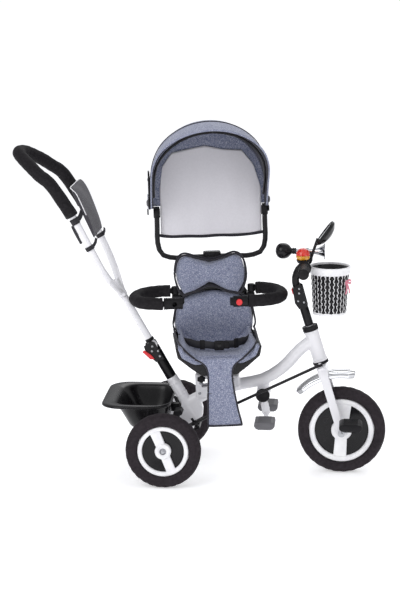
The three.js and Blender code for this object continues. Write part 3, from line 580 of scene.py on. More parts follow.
def tyre_profile(radius, bead, half):
    """Rounded tyre section, from one bead over the tread to the other."""
    side = [
        (bead, half * 0.80), (bead + 3, half * 0.94), (bead + 8, half), (radius - 12, half * 0.99),
        (radius - 6, half * 0.90), (radius - 2.6, half * 0.72), (radius - 0.8, half * 0.5),
        (radius, half * 0.26),
    ]
    return [(r, -y) for r, y in side] + [(radius, 0)] + [(r, y) for r, y in reversed(side)]


def tyre(name, centre, radius, bead, width, body, node):
    """Foam tyre with two rows of small tread notches at its shoulders."""
    half = width / 2
    profile = tyre_profile(radius - 0.2, bead + 0.4, half)
    segments = TREAD_STEPS
    rows = []
    for step in range(segments):
        angle = 2 * math.pi * step / segments
        row = []
        for r, y in profile:
            shoulder = half * 0.4 < abs(y) < half * 0.95 and r > radius - 9
            offset = TREAD_PITCH // 2 if y > 0 else 0
            notch = TREAD_GROOVE if shoulder and (step + offset) % TREAD_PITCH < 3 else 0.0
            row.append((centre[0] + (r - notch) * math.sin(angle), centre[1] + y,
                        centre[2] + (r - notch) * math.cos(angle)))
        rows.append(row)
    piece = tidy_normals(grid(name, rows, TYRE, TRIKE, closed_columns=True, closed_rows=True))
    applied(piece, ("SUBSURF", {"levels": 1}))
    return shown(piece, body, node, slot="tyre_foam")


def rim(name, centre, outer, band, width, hub, bar_halves, tilt_degrees, body, node):
    """White ring, hub and tapered bar over dark dished infill."""
    half = width / 2
    inside = outer - band
    x, y, z = centre
    ring = turned(name + "_ring", [
        (inside, -half + 4), (inside + 1.5, -half + 0.8), (inside + 4, -half), (outer - 3.5, -half),
        (outer - 0.8, -half + 1),
        (outer, -half + 3.5), (outer, half - 3.5), (outer - 0.8, half - 1), (outer - 3.5, half),
        (inside + 4, half),
        (inside + 1.5, half - 0.8), (inside, half - 4),
    ], WHITE_PLASTIC, TRIKE, "Y", centre, 128, closed=True)
    boss = turned(name + "_boss", [
        (0, -half + 4), (hub * 0.38, -half + 4), (hub * 0.45, -half - 0.5), (hub - 3, -half - 1),
        (hub, -half + 2),
        (hub, half - 2), (hub - 3, half + 1), (hub * 0.45, half + 0.5), (hub * 0.38, half - 4),
        (0, half - 4),
    ], WHITE_PLASTIC, TRIKE, "Y", centre, 64)
    tilt = math.radians(tilt_degrees)
    top, bottom = bar_halves
    outline = [(-bottom, -inside - 1), (bottom, -inside - 1), (hub * 0.55, 0), (top, inside + 1),
               (-top, inside + 1), (-hub * 0.55, 0)]
    turned_outline = [
        (x + a * math.cos(tilt) + b * math.sin(tilt), z - a * math.sin(tilt) + b * math.cos(tilt)) for a,
        b in outline
    ]
    bar = plate(name + "_bar", turned_outline, (y - half + 3, y + half - 3), WHITE_PLASTIC, TRIKE, "XZ",
                1.6)
    dish = turned(name + "_infill", [
        (0, -4), (hub, -4), (inside * 0.6, -5.5), (inside - 5, -9), (inside + 1, -9.5), (inside + 1, 9.5),
        (inside - 5, 9), (inside * 0.6, 5.5), (hub, 4), (0, 4),
    ], BLACK_GLOSS, TRIKE, "Y", centre, 128)
    white = joined(name, [ring, boss, bar])
    shown(white, body, node, slot="white_plastic")
    shown(dish, body, slot="black_plastic")


def wheels():
    front = (WHEELBASE, 0, FRONT_RADIUS)
    tyre("front_tyre_look", front, FRONT_RADIUS, 94, 44, "front_wheel", "front_tyre")
    rim("front_rim_look", front, 94, 16, 34, 30, (24, 19), 3, "front_wheel", "front_rim")
    for side, sign in (("right", -1), ("left", 1)):
        centre = (0, sign * REAR_TRACK_HALF, REAR_RADIUS)
        body = f"rear_wheel_{side}"
        tyre(f"rear_tyre_{side}_look", centre, REAR_RADIUS, 73, 42, body, f"rear_tyre_{side}")
        rim(f"rear_rim_{side}_look", centre, 73, 13, 34, 23, (14.5, 13.5), -22.5, body, f"rear_rim_{side}")
        cap = turned(f"rear_axle_nut_{side}", [
            (0, 8), (3.5, 8), (5.5, 6.5), (5.5, 3), (9.5, 2.4), (9.8, 0), (0, 0),
        ], STEEL, TRIKE, "Y", (0, 0, 0), 6 * 6)
        cap.data.transform(Matrix.Translation(point(TRIKE, 0, sign * 208.0, REAR_RADIUS) - point(TRIKE, 0,
                0, 0))
                           @ Matrix.Diagonal((1, sign, 1, 1)))
        shown(tidy_normals(cap), body, slot="bare_steel")


# ---- pedals and foot pegs ---------------------------------------------------
def tread_block(name, centre, outline, span, material, body, node, ribs, rib_height):
    """Block pedal with rounded ends and raised cross ribs on both faces."""
    x, z = centre
    shape = [(x + a, z + b) for a, b in outline]
    core = plate(name + "_core", shape, span, material, TRIKE, "XZ", 3.0)
    low, high = min(b for _, b in outline), max(b for _, b in outline)
    width = 0.62 * max(a for a, _ in outline)
    parts = [core]
    for index in range(ribs):
        share = (index + 0.5) / ribs
        y = span[0] + share * (span[1] - span[0])
        for level, sign in ((high, 1), (low, -1)):
            parts.append(block(
                f"{name}_rib", (x - width, y - 2.2, z + level - 1.5),
                (x + width, y + 2.2, z + level + sign * rib_height),
                material, TRIKE, 0.8, 2))
    return shown(joined(name, parts), body, node, slot="grey_plastic")


CRANK_LENGTH, CRANK_ANGLE = 45, 54
PEG_X, PEG_Z = 283.5, 169
FOLD_X, FOLD_Z = 273.5, 231


def pedals():
    crank, angle = CRANK_LENGTH, math.radians(CRANK_ANGLE)
    for side, sign in (("right", -1), ("left", 1)):
        centre = (WHEELBASE - sign * crank * math.cos(angle), FRONT_RADIUS - sign * crank * math.sin(angle))
        outline = [(-33, -4), (-26, -10.5), (26, -10.5), (33, -4), (33, 5), (26, 10.5), (-26, 10.5),
                   (-33, 5)]
        span = sorted((sign * 57.5, sign * 126.5))
        tread_block(f"pedal_{side}_look", centre, outline, span, BLACK_PLASTIC, f"pedal_{side}",
                    f"pedal_{side}", 7, 1.4)
    for side, sign in (("right", -1), ("left", 1)):
        outline = [(-23, -11), (23, -11), (30, -2), (28, 10), (-28, 10), (-30, -2)]
        span = sorted((sign * 64.5, sign * 135.5))
        tread_block(f"foot_peg_{side}_look", (PEG_X, PEG_Z), outline, span, GREY_PLASTIC, "footrest",
                    f"foot_peg_{side}", 6, 1.2)
        bolt(f"crank_bolt_{side}", TRIKE, (WHEELBASE, sign * 56, FRONT_RADIUS), "Y", 6, "front_wheel",
             STEEL, sign * 3)
    for sign in (-1, 1):
        disc = turned("footrest_disc_" + ("far" if sign > 0 else "near"), [
            (0, 2.4), (9, 2.4), (10, 1.6), (15, 1.6), (17, 2.6), (19, 2.2), (20.6, 0), (0, 0),
        ], BLACK_PLASTIC, TRIKE, "Y", (FOLD_X, 0, FOLD_Z), 64)
        disc.data.transform(Matrix.Translation((0, sign * 0.0281, 0)) @ Matrix.Diagonal((1, sign, 1, 1)))
        shown(tidy_normals(disc), "footrest", slot="black_plastic")


# ---- frame details ----------------------------------------------------------
def frame_details():
    for index, (x, z) in enumerate(((92, 262), (188, 276), (90, 232))):
        bolt(f"bracket_bolt_{index}", TRIKE, (x, -24, z), "Y", 4.2, "frame", STEEL, -3)
    socket_bead = [(17, -3), (17.8, -2), (17.8, 2), (17, 3)]
    for index, distance in enumerate((-20, -58)):
        bead = turned(f"socket_collar_{index}", socket_bead, WHITE_PAINT, PUSH, "Z", (0, 0, distance), 48)
        shown(bead, "frame", slot="white_paint")
    for index, (ahead, up) in enumerate(((-8, 96), (5, 72), (0, 108), (8, 88))):
        bolt(f"push_clamp_rivet_{index}", PUSH, (ahead, -19.5, up), "Y", 3.6, "push_shaft", STEEL, -2.4)
        bolt(f"push_clamp_rivet_far_{index}", PUSH, (ahead, 19.5, up), "Y", 3.6, "push_shaft", STEEL, 2.4)
    for index, (ahead, up) in enumerate(((-9, 404), (6, 396), (0, 425), (4, 438))):
        bolt(f"stem_clamp_rivet_{index}", STEER, (ahead, -17, up), "Y", 3.2, "steering", STEEL, -2.2)
        bolt(f"stem_clamp_rivet_far_{index}", STEER, (ahead, 17, up), "Y", 3.2, "steering", STEEL, 2.2)
    for side, sign in (("right", -1), ("left", 1)):
        bolt(f"fork_end_bolt_{side}", STEER, (0, sign * 44, 0), "Y", 8.5, "steering", STEEL, sign * 3)
    for index, height in enumerate((217, 305)):
        bead = turned(f"head_tube_bead_{index}", [(21, -3), (22.2, -2), (22.2, 2), (21, 3)], WHITE_PAINT,
                      STEER, "Z",
                      (0, 0, height), 48)
        shown(bead, "frame", slot="white_paint")


# ---- mudguard ---------------------------------------------------------------
GUARD_RADIUS = 175.7
GUARD_START, GUARD_SWEEP = 60, 62  # degrees about the front axle
GUARD_STEPS = 40


def mudguard():
    """Pressed guard: crowned blade with rolled edges and two shallow ridges."""
    outer = GUARD_RADIUS
    section = [(-31, -15.5), (-31, -6), (-30, -2.2), (-26, -0.6), (-17, 0), (-14, 0), (-11, -1.4), (-8, 0),
               (0, 0),
               (8, 0), (11, -1.4), (14, 0), (17, 0), (26, -0.6), (30, -2.2), (31, -6), (31, -15.5)]
    rows = []
    for step in range(GUARD_STEPS + 1):
        angle = math.radians(GUARD_START + GUARD_SWEEP * step / GUARD_STEPS)
        end = min(step, GUARD_STEPS - step)
        pull = 0.55 + 0.45 * min(1.0, end / 4)
        rows.append([((outer + drop) * math.cos(angle), y * (pull if abs(y) > 25 else 1),
                      (outer + drop) * math.sin(angle))
                     for y, drop in section])
    piece = grid("mudguard_look", rows, PAINTED_REFLECTION_CHROME, STEER)
    tidy_normals(piece)
    applied(piece, ("SOLIDIFY", {"thickness": 0.0018, "offset": -1.0}), ("SUBSURF", {"levels": 1}))
    shown(piece, "steering", "mudguard", slot="chrome")
    for sign in (-1, 1):
        bolt("mudguard_bolt_" + ("left" if sign > 0 else "right"), STEER, (sign * 5, sign * 8, outer - 1.8),
             "Z", 3.5,
             "steering", STEEL, -2)


# ---- handlebar pieces -------------------------------------------------------
BAR_X, BAR_Z = 391, 617


def grips():
    for side, sign in (("right", -1), ("left", 1)):
        profile = [(11.4, 68), (19.5, 68.3), (20, 70), (19.5, 73), (16.5, 75)]
        for index in range(17):
            start = 78 + index * 5
            profile += [(15.2, start - 1), (16, start), (16, start + 2.5), (15.2, start + 3.5)]
        profile += [(15.8, 163), (13, 166.5), (0, 167)]
        piece = turned(f"grip_{side}_look", [(r, sign * y) for r, y in profile], BLACK_PLASTIC, TRIKE, "Y",
                       (BAR_X, 0, BAR_Z), 48)
        shown(piece, "handlebar", f"grip_{side}", slot="black_plastic")


HORN_Y, HORN_Z = 46, 645


def horn():
    y, z = HORN_Y, HORN_Z
    bulb = [(0, 304), (6, 304.6), (12, 306.6), (17, 310), (20.5, 314.5), (22.5, 320), (23, 326),
            (22.4, 332), (20.4, 338),
            (16.6, 343.4), (11.5, 347.5), (8.4, 350), (8, 353), (9.4, 354.5), (9.4, 357), (8, 358.5),
            (9.2, 360), (9.2, 363.6),
            (0, 363.8)]
    piece = turned("horn_bulb_look", bulb, BLACK_GLOSS, TRIKE, "X", (0, y, z), 64)
    shown(piece, "handlebar", "horn_bulb", slot="black_plastic")
    bell = [(0, 364.4), (6, 364.4), (6.6, 366), (6, 368), (6, 392), (6.8, 404), (8.4, 416), (11, 427),
            (14.6, 436),
            (19, 442.4), (23.6, 445.6), (24.6, 446.4), (24.4, 447.2), (23.4, 447.2), (18, 443.6),
            (13.4, 437), (9.8, 428),
            (7, 418), (0, 417)]
    trumpet = turned("horn_trumpet_bell", bell, PAINTED_REFLECTION_CHROME, TRIKE, "X", (0, y, z), 72)
    post = tube("horn_post", [(BAR_X, y, BAR_Z + 11.4), (BAR_X, y, z - 8)], 5, PAINTED_REFLECTION_CHROME, TRIKE)
    loop = turned("horn_band", [(7, 386), (8.2, 386), (8.2, 396), (7, 396)], PAINTED_REFLECTION_CHROME, TRIKE, "X", (0, y, z),
                  40, closed=True)
    shown(joined("horn_trumpet_look", [trumpet, post, loop]), "handlebar", "horn_trumpet", slot="chrome")
    clamp = collar("horn_clamp", 11.3, 13.2, 7, BLACK_PLASTIC, TRIKE, "Y", (BAR_X, y, BAR_Z))
    shown(clamp, "handlebar", slot="black_plastic")


LIGHT_X, LIGHT_Y = 386, -46


def light():
    x, y = LIGHT_X, LIGHT_Y
    lower = [(0, 638.4), (17.2, 638.4), (18.6, 641), (19.6, 645), (20, 650), (0, 650)]
    upper = [(0, 650.1), (20, 650.1), (19.9, 653), (18.9, 658), (16.6, 662.6), (13, 666.6), (8, 669.6),
             (3, 670.8), (0, 670.9)]
    amber = turned("light_amber", lower, AMBER_LENS, TRIKE, "Z", (x, y, 0), 56)
    red = turned("light_red", upper, RED_LENS, TRIKE, "Z", (x, y, 0), 56)
    shown(joined("light_dome_look", [amber, red]), "handlebar", "light_dome", slot="red_lens")
    clamp = collar("light_clamp", 11.3, 13.4, 8, BLACK_PLASTIC, TRIKE, "Y", (BAR_X, y, BAR_Z))
    shown(clamp, "handlebar", slot="black_plastic")


MIRROR_CENTRE = (445, -22, 712)
MIRROR_TURN = 126  # degrees about Y, from facing up


def mirror_glass():
    """Reflecting disc set in the open side of the mirror shell, facing the rider."""
    disc = turned("mirror_glass", [(0, -0.4), (35, -0.4), (36, 0.2), (36, 0.8), (0, 0.8)], GLASS,
                  Matrix.Identity(4), "Z",
                  (0, 0, 0), 64)
    centre = Vector(MIRROR_CENTRE) / 1000
    place = TRIKE @ Matrix.Translation(centre) @ Matrix.Rotation(math.radians(MIRROR_TURN), 4, "Y")
    disc.data.transform(place)
    shown(disc, "mirror", slot="chrome")
    rim_ring = turned("mirror_rim", [(35.5, -1.2), (38, -1.8), (40, -0.6), (40.4, 1), (36, 1)],
                      BLACK_PLASTIC,
                      Matrix.Identity(4), "Z", (0, 0, 0), 64, closed=True)
    rim_ring.data.transform(place)
    shown(rim_ring, "mirror", slot="black_plastic")


# ---- front basket -----------------------------------------------------------
BASKET_X, BASKET_TOP, BASKET_FLOOR = 463, 613, 472
STAVES = 26
WEAVE_ROWS = 13


def basket_radius(z):
    return 46.5 + (z - BASKET_FLOOR) / (BASKET_TOP - 8 - BASKET_FLOOR) * 8.0


def woven_strip(row):
    """Dark strip that passes in front of every second stave."""
    middle = BASKET_FLOOR + 11 + row * 8.4
    points = []
    count = STAVES * 6
    for step in range(count):
        angle = 2 * math.pi * step / count
        wave = math.cos(STAVES / 2 * angle + math.pi * (row % 2))
        radius = basket_radius(middle) - 0.6 + 1.5 * wave
        points.append((angle, radius))
    rows = []
    for angle, radius in points:
        flat = [(0.55, -3.9), (0.8, 0), (0.55, 3.9), (-0.45, 3.9), (-0.45, -3.9)]
        rows.append([(BASKET_X + (radius + depth) * math.cos(angle), (radius + depth) * math.sin(angle),
                      middle + height)
                     for depth, height in flat])
    return grid("weave", rows, BLACK_GLOSS, TRIKE, closed_columns=True, closed_rows=True)


def stave(index):
    angle = 2 * math.pi * (index + 0.5) / STAVES
    rows = []
    for step in range(9):
        z = BASKET_FLOOR + 4 + step * (BASKET_TOP - 20 - BASKET_FLOOR - 4) / 8
        radius = basket_radius(z) - 0.6
        along = Vector((-math.sin(angle), math.cos(angle), 0))
        out = Vector((math.cos(angle), math.sin(angle), 0))
        here = Vector((BASKET_X, 0, z)) + out * radius
        rows.append([tuple(here + along * a + out * b) for a,
                     b in ((-2.3, -0.6), (2.3, -0.6), (2.3, 0.6), (-2.3, 0.6))])
    return grid("stave", rows, WHITE_PLASTIC, TRIKE, closed_columns=True)


def front_basket():
    strips = [woven_strip(row) for row in range(WEAVE_ROWS)]
    staves = [stave(index) for index in range(STAVES)]
    ring = turned("basket_base_ring", [(44.5, 472.3), (48.2, 472.3), (48.6, 475), (48.4, 480), (46.4, 481),
                                       (44.8, 479)],
                  WHITE_PLASTIC, TRIKE, "Z", (BASKET_X, 0, 0), 72, closed=True)
    floor_disc = turned("basket_floor", [(0, 473), (45, 473), (45, 475.5), (0, 475.5)], WHITE_PLASTIC,
                        TRIKE, "Z",
                        (BASKET_X, 0, 0), 48)
    liner = turned("basket_liner", [(45.4, 478), (45.9, 478), (53.4, 607), (52.9, 607)], BLACK_GLOSS, TRIKE,
                   "Z",
                   (BASKET_X, 0, 0), 72, closed=True)
    body = joined("front_basket_look", strips + staves + [ring, floor_disc, liner])
    tidy_normals(body, 1e-6)
    shown(body, "handlebar", "front_basket", slot="black_plastic")
    band = turned("basket_band", [
        (53.6, 591), (57.6, 591.2), (58.4, 593), (58.2, 607), (59, 609), (59, 612), (57.4, 613),
        (54.4, 612.6), (53.8, 609),
    ], WHITE_PLASTIC, TRIKE, "Z", (BASKET_X, 0, 0), 96, closed=True)
    hooks = [block("hook", (BAR_X + 11.5, y - 6, 601), (BASKET_X - 52, y + 6, 609), WHITE_PLASTIC, TRIKE,
                   1.5)
             for y in (-24, 24)]
    shown(joined("front_basket_rim_look", [band] + hooks), "handlebar", "front_basket_rim",
          slot="white_plastic")


def ribbon():
    """Small bow of satin ribbon with two loops and two tails, tied on the basket."""
    place = TRIKE @ Matrix.Translation((BASKET_X / 1000, 0, 0)) @ Matrix.Rotation(-0.6, 4, "Z")
    parts = []
    for sign in (-1, 1):
        loop = [(58, 0, 572), (62, sign * 8, 577), (64, sign * 14, 573), (62, sign * 13, 567),
                (59, sign * 4, 570)]
        path = smooth_path(loop, 6)
        parts.append(grid("loop", [[(p.x, p.y, p.z - 3), (p.x + 0.8, p.y, p.z),
                                    (p.x, p.y, p.z + 3)] for p in path],
                          RIBBON, place))
        tail = [(59, 0, 570), (61, sign * 3, 560), (63, sign * 6, 549), (62, sign * 9, 538)]
        path = smooth_path(tail, 6)
        parts.append(grid("tail", [[(p.x, p.y - 3, p.z), (p.x + 0.7, p.y, p.z),
                                    (p.x, p.y + 3, p.z)] for p in path],
                          RIBBON, place))
    knot = block("knot", (57, -3, 567), (62, 3, 573), RIBBON, place, 1.5)
    piece = joined("ribbon_bow_look", parts)
    applied(piece, ("SOLIDIFY", {"thickness": 0.0006, "offset": 0.0}))
    shown(piece, "handlebar", "ribbon_bow", slot="pink_ribbon")
    shown(knot, "handlebar", slot="pink_ribbon")
    return piece


# ---- rear basket ------------------------------------------------------------
def rounded_rectangle(x0, x1, half, radius, steps=10):
    """Outline of a rectangle with quarter-circle corners, anticlockwise from the front far corner."""
    corners = [(x1 - radius, half - radius, 0), (x0 + radius, half - radius, 90),
               (x0 + radius, -half + radius, 180), (x1 - radius, -half + radius, 270)]
    points = []
    for cx, cy, start in corners:
        for step in range(steps + 1):
            angle = math.radians(start + 90 * step / steps)
            points.append((cx + radius * math.cos(angle), cy + radius * math.sin(angle)))
    return points


def rear_basket():
    """Moulded tub with a wide rolled lip, a shallow step below it and a dished floor."""
    def ring(x0, x1, half, radius, z):
        return [(x, y, z) for x, y in rounded_rectangle(x0, x1, half, radius)]

    rows = [ring(-60, -58, 1.2, 0.5, 141.5), ring(-100, -16, 82, 30, 141), ring(-108, -8, 92, 40, 140.6),
            ring(-112, -4.5, 96, 47, 143.5), ring(-116, -2, 99, 48, 150), ring(-132, 3, 108.5, 48, 182),
            ring(-147, 7, 116, 48, 208), ring(-152, 8.5, 120, 50, 213), ring(-178, 10.5, 140, 58, 215.5),
            ring(-189, 11.5, 145.5, 60, 211), ring(-190, 12, 146, 60, 214),
            ring(-188.5, 11.8, 145, 60, 219.5),
            ring(-182, 11, 140, 58, 221.8), ring(-156, 8.4, 122, 50, 220.6),
            ring(-149, 5.4, 115.6, 47, 216.5),
            ring(-144, 3.8, 112.8, 46, 208), ring(-129, 0, 105.4, 45, 182), ring(-113, -5, 96, 45, 150),
            ring(-108, -8, 92, 43, 144.6), ring(-98, -18, 80, 30, 143.8), ring(-60, -58, 1.2, 0.5, 143.6)]
    tub = grid("rear_tub", rows, BLACK_GLOSS, TRIKE, closed_columns=True)
    tidy_normals(tub)
    applied(tub, ("SUBSURF", {"levels": 1}))
    hook = block("rear_hook", (4.4, -11.6, 172.4), (28.6, 11.6, 195.6), BLACK_PLASTIC, TRIKE, 2)
    shown(joined("rear_basket_look", [tub, hook]), "frame", "rear_basket", slot="black_plastic")


# ---- padded seat pieces -----------------------------------------------------
def filled(node, name, voxel, cap, pressure=4.0, stiffness=12.0, relax=8):
    """Stuffed cover grown from a CAD solid: inflated as cloth against stitching, then softened."""
    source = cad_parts[node]
    piece = as_object(name, source.data.copy(), [])
    piece.data.materials.clear()
    piece.data.materials.append(BLUE_FABRIC)
    applied(piece, ("REMESH", {"mode": "VOXEL", "voxel_size": voxel / 1000, "use_smooth_shade": True}),
            ("SMOOTH", {"factor": 0.5, "iterations": relax}))
    rest = [vertex.co.copy() for vertex in piece.data.vertices]
    scene = bpy.context.scene
    scene.frame_start, scene.frame_end = 1, 20
    cloth = piece.modifiers.new("Cloth", "CLOTH")
    cloth.settings.quality = 5
    cloth.settings.mass = 0.3
    cloth.settings.use_pressure = True
    cloth.settings.uniform_pressure_force = pressure
    cloth.settings.tension_stiffness = stiffness
    cloth.settings.compression_stiffness = stiffness
    cloth.settings.bending_stiffness = 0.4
    cloth.settings.effector_weights.gravity = 0.0
    for index in range(1, 21):
        scene.frame_set(index)
    grown = piece.evaluated_get(bpy.context.evaluated_depsgraph_get())
    swollen = [vertex.co.copy() for vertex in grown.data.vertices]
    piece.modifiers.clear()
    scene.frame_set(1)
    for vertex, old, new in zip(piece.data.vertices, rest, swollen):
        step = new - old
        if step.length > cap / 1000:
            step *= cap / 1000 / step.length
        vertex.co = old + step
    applied(piece, ("SMOOTH", {"factor": 0.5, "iterations": 3}), ("SUBSURF", {"levels": 1}))
    return piece


def piping(name, points, body, radius=3.1, group=SEAT, closed=False):
    cord_piece = tube(name, points, radius, PIPING, group, 6, 10, closed)
    return shown(cord_piece, body, slot="blue_fabric")


def seat_pads():
    cushion = filled("seat_cushion", "seat_cushion_look", 4.0, 7)
    shown(cushion, "seat", "seat_cushion", slot="blue_fabric")
    pillow = filled("head_pillow", "head_pillow_look", 4.0, 9)
    shown(pillow, "seat", "head_pillow", slot="blue_fabric")
    edge = [(-60, 230), (-10, 249), (40, 230), (76, 225), (93, 258), (96, 290), (87, 327), (64, 341),
            (30, 331), (-8, 323),
            (-46, 331), (-82, 341), (-103, 327), (-112, 290), (-109, 258), (-93, 225)]
    piping("pillow_piping_back", [(x, 94, z) for x, z in edge], "seat", 2.9, closed=True)
    piping("pillow_piping_front", [(x, 60, z) for x, z in edge], "seat", 2.9, closed=True)
    for sign in (-1, 1):
        side = "left" if sign < 0 else "right"
        top = [(sign * 118, 97, 114), (sign * 118, 50, 114), (sign * 117, 0, 114), (sign * 115, -55, 113),
               (sign * 109, -92, 109),
               (sign * 98, -114, 99), (sign * 84, -124, 87), (sign * 70, -129, 76)]
        piping("cushion_piping_" + side, top, "seat", 3.1)
        wing = [(sign * 116, 77, 116), (sign * 121, 77, 132), (sign * 117, 77, 160), (sign * 110, 77, 188),
                (sign * 90, 77, 213),
                (sign * 60, 77, 227), (sign * 25, 77, 233)]
        piping("back_piping_" + side, wing, "seat", 2.9)


def flap():
    """Quilted cloth flap hanging from the front of the cushion, edged with piping and stitched across."""
    left = [(-70, 75), (-52, 66), (-40, 54), (-34, 36), (-33, 8), (-35, -34), (-36, -78), (-38, -121)]
    right = [(70, 75), (52, 64), (40, 52), (35, 34), (36, 6), (42, -34), (50, -78), (60, -121)]
    rows = []
    count = 34
    for step in range(count + 1):
        share = step / count
        lean = 3.0 * math.sin(share * 2.6)
        row = []
        for column in range(21):
            across = column / 20
            a, b = edge_at(left, share), edge_at(right, share)
            x = a[0] + (b[0] - a[0]) * across
            z = a[1] + (b[1] - a[1]) * across
            puff = 3.2 * (1 - (2 * across - 1) ** 4) * (1 - (2 * share - 1) ** 10)
            quilt = 1.4 * math.exp(-((z + 26) / 3.0) ** 2)
            row.append((x, -129.5 - puff + quilt - 0.4 * lean * math.sin(across * 3.1), z))
        rows.append(row)
    front = grid("seat_flap_look", rows, BLUE_FABRIC, SEAT)
    tidy_normals(front)
    applied(front, ("SOLIDIFY", {"thickness": 0.006, "offset": 0.0}), ("SUBSURF", {"levels": 1}))
    shown(front, "seat", "seat_flap", slot="blue_fabric")
    path = left[:-1] + [(-37, -117), (-33, -122), (10, -122.5), (55, -122), (59, -117)] + right[-2::-1]
    border = piping("flap_piping", [(x, -131.5, z) for x, z in path], "seat", 3.0)
    seam = piping("flap_seam", [(-34.5, -134.0, -26), (0, -134.6, -26.5), (40.5, -134.0, -27)], "seat", 0.9)
    for piece in (front, border, seam):
        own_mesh(piece)


def edge_at(points, share):
    """Point part of the way along a broken line."""
    place = share * (len(points) - 1)
    index = min(int(place), len(points) - 2)
    local = place - index
    return tuple(a + (b - a) * local for a, b in zip(points[index], points[index + 1]))


# ---- hood -------------------------------------------------------------------
HOOD_SHIFT, HOOD_HALF, HOOD_RISE, HOOD_BOTTOM = -7, 169, 160, 478
HOOD_RIDGE = [(-190, 731), (-168, 733), (-100, 742), (0, 744), (70, 728), (127, 700), (140, 693)]
FAN_BACK, FAN_FRONT, FAN_SLOPE = 125, 84, -1.0242
FAN_ROWS, FAN_SIDE, FAN_ROUND = 44, 16, 40


def ridge_height(y):
    """Height of the hood's crest above a station of the seat."""
    pairs = HOOD_RIDGE
    for (y0, z0), (y1, z1) in zip(pairs, pairs[1:]):
        if y <= y1:
            share = (y - y0) / (y1 - y0)
            ease = share * share * (3 - 2 * share) * 0.4 + share * 0.6
            return z0 + (z1 - z0) * ease
    return pairs[-1][1]


def fan_point(fan, column, inset=0.0):
    """Point of the hood: fan runs from the upright back to the leaning front, column from left to right."""
    base = FAN_BACK + (FAN_FRONT - FAN_BACK) * fan
    slope = FAN_SLOPE * fan
    half, rise = HOOD_HALF - inset, HOOD_RISE - inset
    total = FAN_SIDE * 2 + FAN_ROUND
    if column < FAN_SIDE or column > FAN_SIDE + FAN_ROUND:
        side = -1 if column < FAN_SIDE else 1
        share = column / FAN_SIDE if side < 0 else (total - column) / FAN_SIDE
        spring = HOOD_BOTTOM + 95
        for _ in range(8):
            spring = ridge_height(base + slope * (spring - HOOD_BOTTOM)) - inset - rise
        z = HOOD_BOTTOM + share * (spring - HOOD_BOTTOM)
        return (HOOD_SHIFT + side * half, base + slope * (z - HOOD_BOTTOM), z)
    angle = math.pi * (1 - (column - FAN_SIDE) / FAN_ROUND)
    z = HOOD_BOTTOM + 95
    for _ in range(12):
        z = ridge_height(base + slope * (z - HOOD_BOTTOM)) - inset - rise + rise * math.sin(angle)
    return (HOOD_SHIFT + half * math.cos(angle), base + slope * (z - HOOD_BOTTOM), z)


def sagged(fan, column, inset):
    """Fabric between the bows: it dips where nothing holds it and ripples towards the lower corners."""
    x, y, z = fan_point(fan, column, inset)
    total = FAN_SIDE * 2 + FAN_ROUND
    across = column / total
    dip = 2.2 * math.sin(math.pi * min(1.0, fan / 0.96)) * math.sin(math.pi * across)
    low = max(0.0, 1 - min(across, 1 - across) * 5)
    ripple = 1.3 * low * math.sin(fan * 21 + across * 9)
    middle = Vector((HOOD_SHIFT, y, 560))
    inwards = (middle - Vector((x, y, z))).normalized()
    moved = Vector((x, y, z)) + inwards * (dip + ripple + 0.8)
    return tuple(moved)


def hood():
    """One curved sheet over the bow, its inner face in a darker navy that is painted shade, with dark binding
    along both arches.
    """
    total = FAN_SIDE * 2 + FAN_ROUND
    rows = [[sagged(row / FAN_ROWS, column,
                    0.8) for column in range(total + 1)] for row in range(FAN_ROWS + 1)]
    outer = grid("hood_look", rows, [BLUE_FABRIC, HOOD_LINING_PAINTED_SHADE], SEAT)
    centre = point(SEAT, HOOD_SHIFT, 0, 560)
    facing_out(outer, centre)
    # The solidify's material offset gives the inner faces the darker navy, which is painted shade.
    applied(outer, ("SOLIDIFY", {"thickness": 0.0022, "offset": -1.0, "material_offset": 1,
                                 "material_offset_rim": 0}),
            ("SUBSURF", {"levels": 1}))
    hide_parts("hood_fabric")
    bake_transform(outer)
    edges = (("front_edge", 1.0, 2.4, BLUE_FABRIC, 0.4), ("front_seam", 0.52, 1.3, PIPING, -0.6),
             ("rear_edge", 0.0, 2.4, PIPING, 0.4), ("front_lining", 0.985, 2.0, PIPING, 4.2))
    for name, fan, radius, material, inset in edges:
        path = [sagged(fan, column, inset) for column in range(0, total + 1, 2)]
        band = tube("hood_" + name, path, radius, material, SEAT, 3, 10)
        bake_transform(band)
    for side, column in (("left", 0), ("right", total)):
        path = [sagged(row / FAN_ROWS, column, 0.4) for row in range(0, FAN_ROWS + 1, 4)]
        band = tube("hood_hem_" + side, path, 2.2, PIPING, SEAT, 3, 10)
        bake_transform(band)
    hood_back()


def hood_back():
    """Upright blue wall of the hood, from its rear arch down to the scalloped top of the pale panel."""
    rows = []
    steps = 72
    for step in range(steps + 1):
        column = step / steps * (FAN_SIDE * 2 + FAN_ROUND)
        x, _, z = fan_point(0.0, column, 2.5)
        inner_x = max(-146.0, min(148.0, x * 0.93))
        inner_z = min(panel_height(inner_x) - 6, z - 6) if z > 500 else z
        row = []
        for level in range(9):
            share = level / 8
            pucker = 0.8 * math.sin(step * 0.9) * share * (1 - share) * 4
            row.append((x + (inner_x - x) * share, 125.2 + pucker * 0.6, z + (inner_z - z) * share))
        rows.append(row)
    wall = grid("hood_back_look", rows, [BLUE_FABRIC, HOOD_LINING_PAINTED_SHADE], SEAT)
    tidy_normals(wall)
    applied(wall, ("SOLIDIFY", {"thickness": 0.0012, "offset": 0.0}))
    return shown(wall, "seat", slot="blue_fabric")


def facing_out(piece, centre):
    """Turns every face away from a centre point."""
    shape = bmesh.new()
    shape.from_mesh(piece.data)
    for face in shape.faces:
        if face.normal.dot(face.calc_center_median() - centre) < 0:
            face.normal_flip()
    shape.to_mesh(piece.data)
    shape.free()
    return piece




